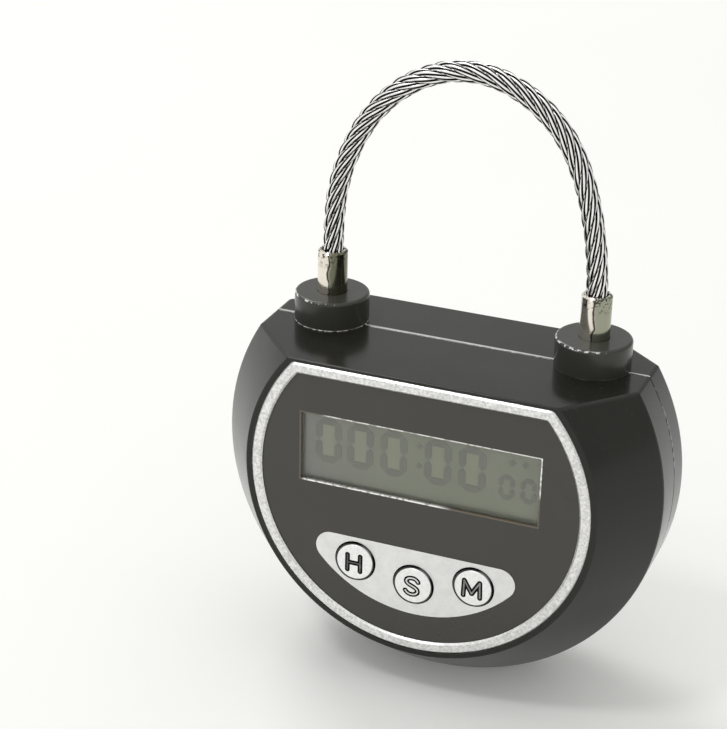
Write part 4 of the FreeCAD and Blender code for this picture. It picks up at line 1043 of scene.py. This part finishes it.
tree, shader = new_finish("window_clear")
shader["Transmission Weight"].default_value = 1.0
shader["IOR"].default_value = ACRYLIC_IOR
lines = use(tree, scratches, Scale=200.0, Amount=1.0)
touched = use(tree, smudges, Scale=60.0)
clear = blended(tree, touched, (0.98, 0.985, 0.97), (0.94, 0.95, 0.93))
feed(tree, shader["Base Color"], clear)
set_roughness(tree, shader, times(tree, touched, 0.05), times(tree, lines, 0.2))
set_relief(tree, shader, lines, 0.000004, strength=0.5)
pane.data.materials.append(finishes["window_clear"])
print("pane:", [round(side, 5) for side in size], "m")

# %% [markdown]
# A fine silver line runs round the opening, on its cut edge: a painted highlight of that edge.
# It is painted bright along the top, on the right and along the left of the lower edge, and
# painted dark brown as shade elsewhere. The line is a slim frame with a sloping front, so four
# corners of the opening, moved in and back by small steps, are all it needs.

# %% Window edge
OPENING_HALF = (0.017425, 0.00525)
WINDOW_MIDDLE = FACE_MIDDLE + 0.0037
EDGE_WIDTH = 0.00019
EDGE_SECTION = [         # inwards from the opening, and back from the plate's front
    (-0.00001, -0.00001), (EDGE_WIDTH, 0.00006), (EDGE_WIDTH, 0.00050), (-0.00001, 0.00050),
]

mesh = bmesh.new()
plate_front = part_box("face_plate")[0].y
rims = []
for inset, back in EDGE_SECTION:
    wide, tall = OPENING_HALF[0] - inset, OPENING_HALF[1] - inset
    rims.append([
        mesh.verts.new((x * wide, plate_front + back, WINDOW_MIDDLE + z * tall))
        for x, z in ((-1, -1), (1, -1), (1, 1), (-1, 1))
    ])
bridge(mesh, rims + rims[:1])
bmesh.ops.recalc_face_normals(mesh, faces=mesh.faces)
window_edge = placed(mesh, "window_edge", smooth=False)
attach(window_edge, "root")
print("window edge:", len(window_edge.data.polygons), "faces")

# %% [markdown]
# The line's finish finds its painted shade by place: the right part of the lower edge, the
# left end, and the left of the upper edge. Noise spots darken part of what is left.

# %% Window edge finish
tree, shader = new_finish("edge_line")
place = surface_place(tree)
x, height = axes(tree, place)["X"], axes(tree, place)["Z"]
low_edge = remap(tree, height, WINDOW_MIDDLE, WINDOW_MIDDLE - 0.001)
high_edge = remap(tree, height, WINDOW_MIDDLE, WINDOW_MIDDLE + 0.001)
low_right = times(tree, low_edge, remap(tree, x, 0.003, 0.005))
high_left = times(tree, high_edge, remap(tree, x, -0.0130, -0.0142))
left_end = remap(tree, x, -0.0165, -0.0171)
broken_spots = remap(tree, noise(tree, place, 1500.0), 0.52, 0.60)
rubbed_and_shaded = largest(tree, largest(tree, low_right, left_end), high_left)
rubbed_and_shaded = largest(tree, rubbed_and_shaded, times(tree, broken_spots, 0.6))
# bright silver is a painted highlight, dark brown a painted shade
line_colour = blended(tree, rubbed_and_shaded, (0.90, 0.90, 0.88), (0.14, 0.115, 0.085))
feed(tree, shader["Base Color"], line_colour)
feed(tree, shader["Metallic"], minus(tree, 1.0, rubbed_and_shaded))
feed(tree, shader["Roughness"], remap(tree, broken_spots, 0.0, 1.0, 0.3, 0.5))
window_edge.data.materials.append(finishes["edge_line"])
print("edge line:", len(tree.nodes), "nodes")

# %% [markdown]
# ## The letters on the keys
#
# The keys carry H, S and M for hours, set and minutes, in rounded strokes: a letter with a
# dark outline. Text objects would bring a font's own shapes, so each letter is a few strokes
# in code, as rows of points. The S starts as straight runs, and its corners are cut twice.

# %% Letter strokes
S_BEND = [(0.90, 0.80), (0.62, 1.18), (0.05, 1.32), (-0.62, 1.18), (-0.90, 0.72), (-0.62, 0.30),
          (0.0, 0.06), (0.62, -0.20), (0.92, -0.66), (0.62, -1.14), (0.0, -1.32), (-0.62, -1.18),
          (-0.95, -0.80)]
LETTERS = {              # strokes in millimetres from the middle of the key
    "hour": [[(-0.95, 1.12), (-0.95, -1.25)], [(0.95, 1.12), (0.95, -1.25)],
             [(-0.95, -0.05), (0.95, -0.05)]],
    "set": [S_BEND],
    "minute": [[(-1.20, -1.20), (-1.12, 1.15), (0.0, -0.75), (1.12, 1.15), (1.20, -1.20)]],
}
ROUNDS = {"hour": 0, "set": 2, "minute": 0}    # how often the corners of a stroke are cut


def smoothed(points, rounds):
    """Cut the corners of a row of points, as often as asked."""
    for _ in range(rounds):
        cut = [points[0]]
        for a, b in zip(points, points[1:]):
            cut.append((0.75 * a[0] + 0.25 * b[0], 0.75 * a[1] + 0.25 * b[1]))
            cut.append((0.25 * a[0] + 0.75 * b[0], 0.25 * a[1] + 0.75 * b[1]))
        points = cut + [points[-1]]
    return points


print("strokes:", {key: len(strokes) for key, strokes in LETTERS.items()})

# %% [markdown]
# A stroke is made as a chain of flat domes, and a voxel remesh melts them into one clean form.
# The outline is the same chain, wider and lower. Paint is thin, so the domes are sunk until
# less than half of their height stands out of the key.

# %% Letter from domes
MM = 0.001
SUNK = 0.55              # how deep a dome's middle lies, as a share of its height
DOME_STEP = 0.18         # from dome to dome, as a share of their radius


def letter(name, key, radius, height, voxel, finish):
    """A key's letter as domes along its strokes, melted into one mesh."""
    middle, front = middle_of(f"key_{key}"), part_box(f"key_{key}")[0].y
    flat = Matrix.Diagonal((radius, height, radius, 1))
    mesh = bmesh.new()
    for stroke in LETTERS[key]:
        stroke = smoothed(stroke, ROUNDS[key])
        for start, end in zip(stroke, stroke[1:]):
            count = max(2, math.ceil(math.dist(start, end) * MM / (radius * DOME_STEP)))
            for step in range(count + 1):
                x, z = (a + (b - a) * step / count for a, b in zip(start, end))
                spot = Matrix.Translation((middle.x + x * MM, front + height * SUNK,
                                           middle.z + z * MM))
                bmesh.ops.create_icosphere(mesh, subdivisions=2, radius=1, matrix=spot @ flat)
    piece = placed(mesh, name)
    melt = piece.modifiers.new("melt", "REMESH")
    melt.mode = "VOXEL"
    melt.voxel_size = voxel
    melt.use_smooth_shade = True
    evaluated = piece.evaluated_get(bpy.context.evaluated_depsgraph_get())
    melted = bpy.data.meshes.new_from_object(evaluated)
    piece.modifiers.clear()
    piece.data = melted
    piece.data.name = name
    piece.data.materials.append(finish)
    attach(piece, f"{key}_key")
    print(name, len(melted.polygons), "faces")


# %% [markdown]
# Paint on a key is thin, dull and a little uneven. The outline is nearly black, and each fill
# has its own grey, with a lighter one showing through where fingers rub it.

# %% Letters and their paint
PAINT_GLOSS = 0.05


def paint(name, colour, rubbed_and_shaded, share):
    """Dull paint; share is how much of the rubbed colour shows where it is worn."""
    tree, shader = new_finish(name)
    shader["Specular IOR Level"].default_value = PAINT_GLOSS
    worn = remap(tree, noise(tree, surface_place(tree), 1400.0, 3.0), 0.5, 0.66, 0.0, share)
    feed(tree, shader["Base Color"], blended(tree, worn, colour, rubbed_and_shaded))
    feed(tree, shader["Roughness"], remap(tree, worn, 0.0, 1.0, 0.85, 0.6))
    set_relief(tree, shader, worn, 0.000008, strength=0.5)


paint("outline_paint", (0.003, 0.003, 0.003), (0.02, 0.02, 0.02), 0.5)
paint("hour_paint", (0.11, 0.11, 0.108), (0.26, 0.26, 0.25), 0.7)
paint("set_paint", (0.78, 0.78, 0.77), (0.88, 0.88, 0.87), 0.8)
paint("minute_paint", (0.24, 0.24, 0.235), (0.40, 0.40, 0.39), 0.7)
for key in KEYS:
    letter(f"letter_outline_{key}", key, radius=0.48 * MM, height=0.06 * MM,
           voxel=0.03 * MM, finish=finishes["outline_paint"])
    letter(f"letter_{key}", key, radius=0.19 * MM, height=0.10 * MM,
           voxel=0.025 * MM, finish=finishes[f"{key}_paint"])

# %% [markdown]
# ## Dress the solids
#
# The record says which material slot each solid has, so one loop gives every solid its finish.
# The key panel has a finish of its own, because it is duller than the ring that it shares its
# slot with.

# %% Dress the solids
OWN_FINISH = {"key_panel": "panel_silver"}

for part in frame["record"]["subparts"]:
    solid = frame["nodes"][part["node"]]
    finish = finishes[OWN_FINISH.get(part["node"], part["material_slot"])]
    if not solid.material_slots:
        solid.data.materials.append(finish)
    for slot in solid.material_slots:
        slot.material = finish

# %% [markdown]
# ## Floor finish
#
# The floor's paper has a faint cloud in its white. The light on the padlock stays plain, yet
# the background should be white and the wire should mirror a white room. The Light Path node
# tells what kind of ray asks: for rays from the camera, or mirrored by a glossy surface, the
# paper glows a little, and for the rays that light things it doesn't.

# %% Floor finish
PAPER_GLOW = 0.105


def seen(tree):
    """1 for rays from the camera, from a mirroring surface or through clear plastic."""
    rays = tree.nodes.new("ShaderNodeLightPath").outputs
    seen_or_mirrored = largest(tree, rays["Is Camera Ray"], rays["Is Glossy Ray"])
    return largest(tree, seen_or_mirrored, rays["Is Transmission Ray"])


tree, shader = new_finish("floor_paper")
place = surface_place(tree)
cloud = remap(tree, noise(tree, place, 6.0, 3.0), 0.35, 0.65)
paper = blended(tree, cloud, (0.93, 0.93, 0.905), (0.915, 0.915, 0.895))
feed(tree, shader["Base Color"], paper)
feed(tree, shader["Roughness"], remap(tree, noise(tree, place, 1800.0), 0.3, 0.7, 0.6, 0.8))
shader["Specular IOR Level"].default_value = 0.15
feed(tree, shader["Emission Color"], (1.0, 1.0, 0.98))
feed(tree, shader["Emission Strength"], times(tree, seen(tree), PAPER_GLOW))
floor.data.materials.append(finishes["floor_paper"])
print("floor:", 2 * FLOOR_RADIUS, "m across")

# %% [markdown]
# ## Surroundings
#
# The padlock stands in a plain grey-white room, a little darker in front on the right, so that
# the right flank of the case mirrors less light than the left one. As with the floor, rays
# that see or mirror the room find it brighter than the rays that light things. Only the wall
# behind stays grey, because the flat top mirrors it.

# %% Surroundings
ROOM_LIGHT = 0.70        # how strongly the room lights the padlock

room = bpy.data.worlds.new("studio_room")
room.use_nodes = True
scene.world = room
tree = room.node_tree
background = tree.nodes["Background"].inputs
heading = axes(tree, tree.nodes.new("ShaderNodeTexCoord").outputs["Generated"])
dark_corner = times(tree, remap(tree, heading["X"], -0.3, 0.7),
                    remap(tree, heading["Y"], -0.75, -0.35))
overhead = remap(tree, heading["Z"], 0.45, 0.85)
walls = blended(tree, dark_corner, (0.98, 0.98, 0.97), (0.62, 0.62, 0.60))
feed(tree, background["Color"], blended(tree, overhead, walls, (1.0, 1.0, 1.0)))
extra = remap(tree, heading["Y"], 0.35, 0.75, 1 - ROOM_LIGHT, 0.0)
feed(tree, background["Strength"], plus(tree, ROOM_LIGHT, times(tree, seen(tree), extra)))
print("room:", len(tree.nodes), "nodes")
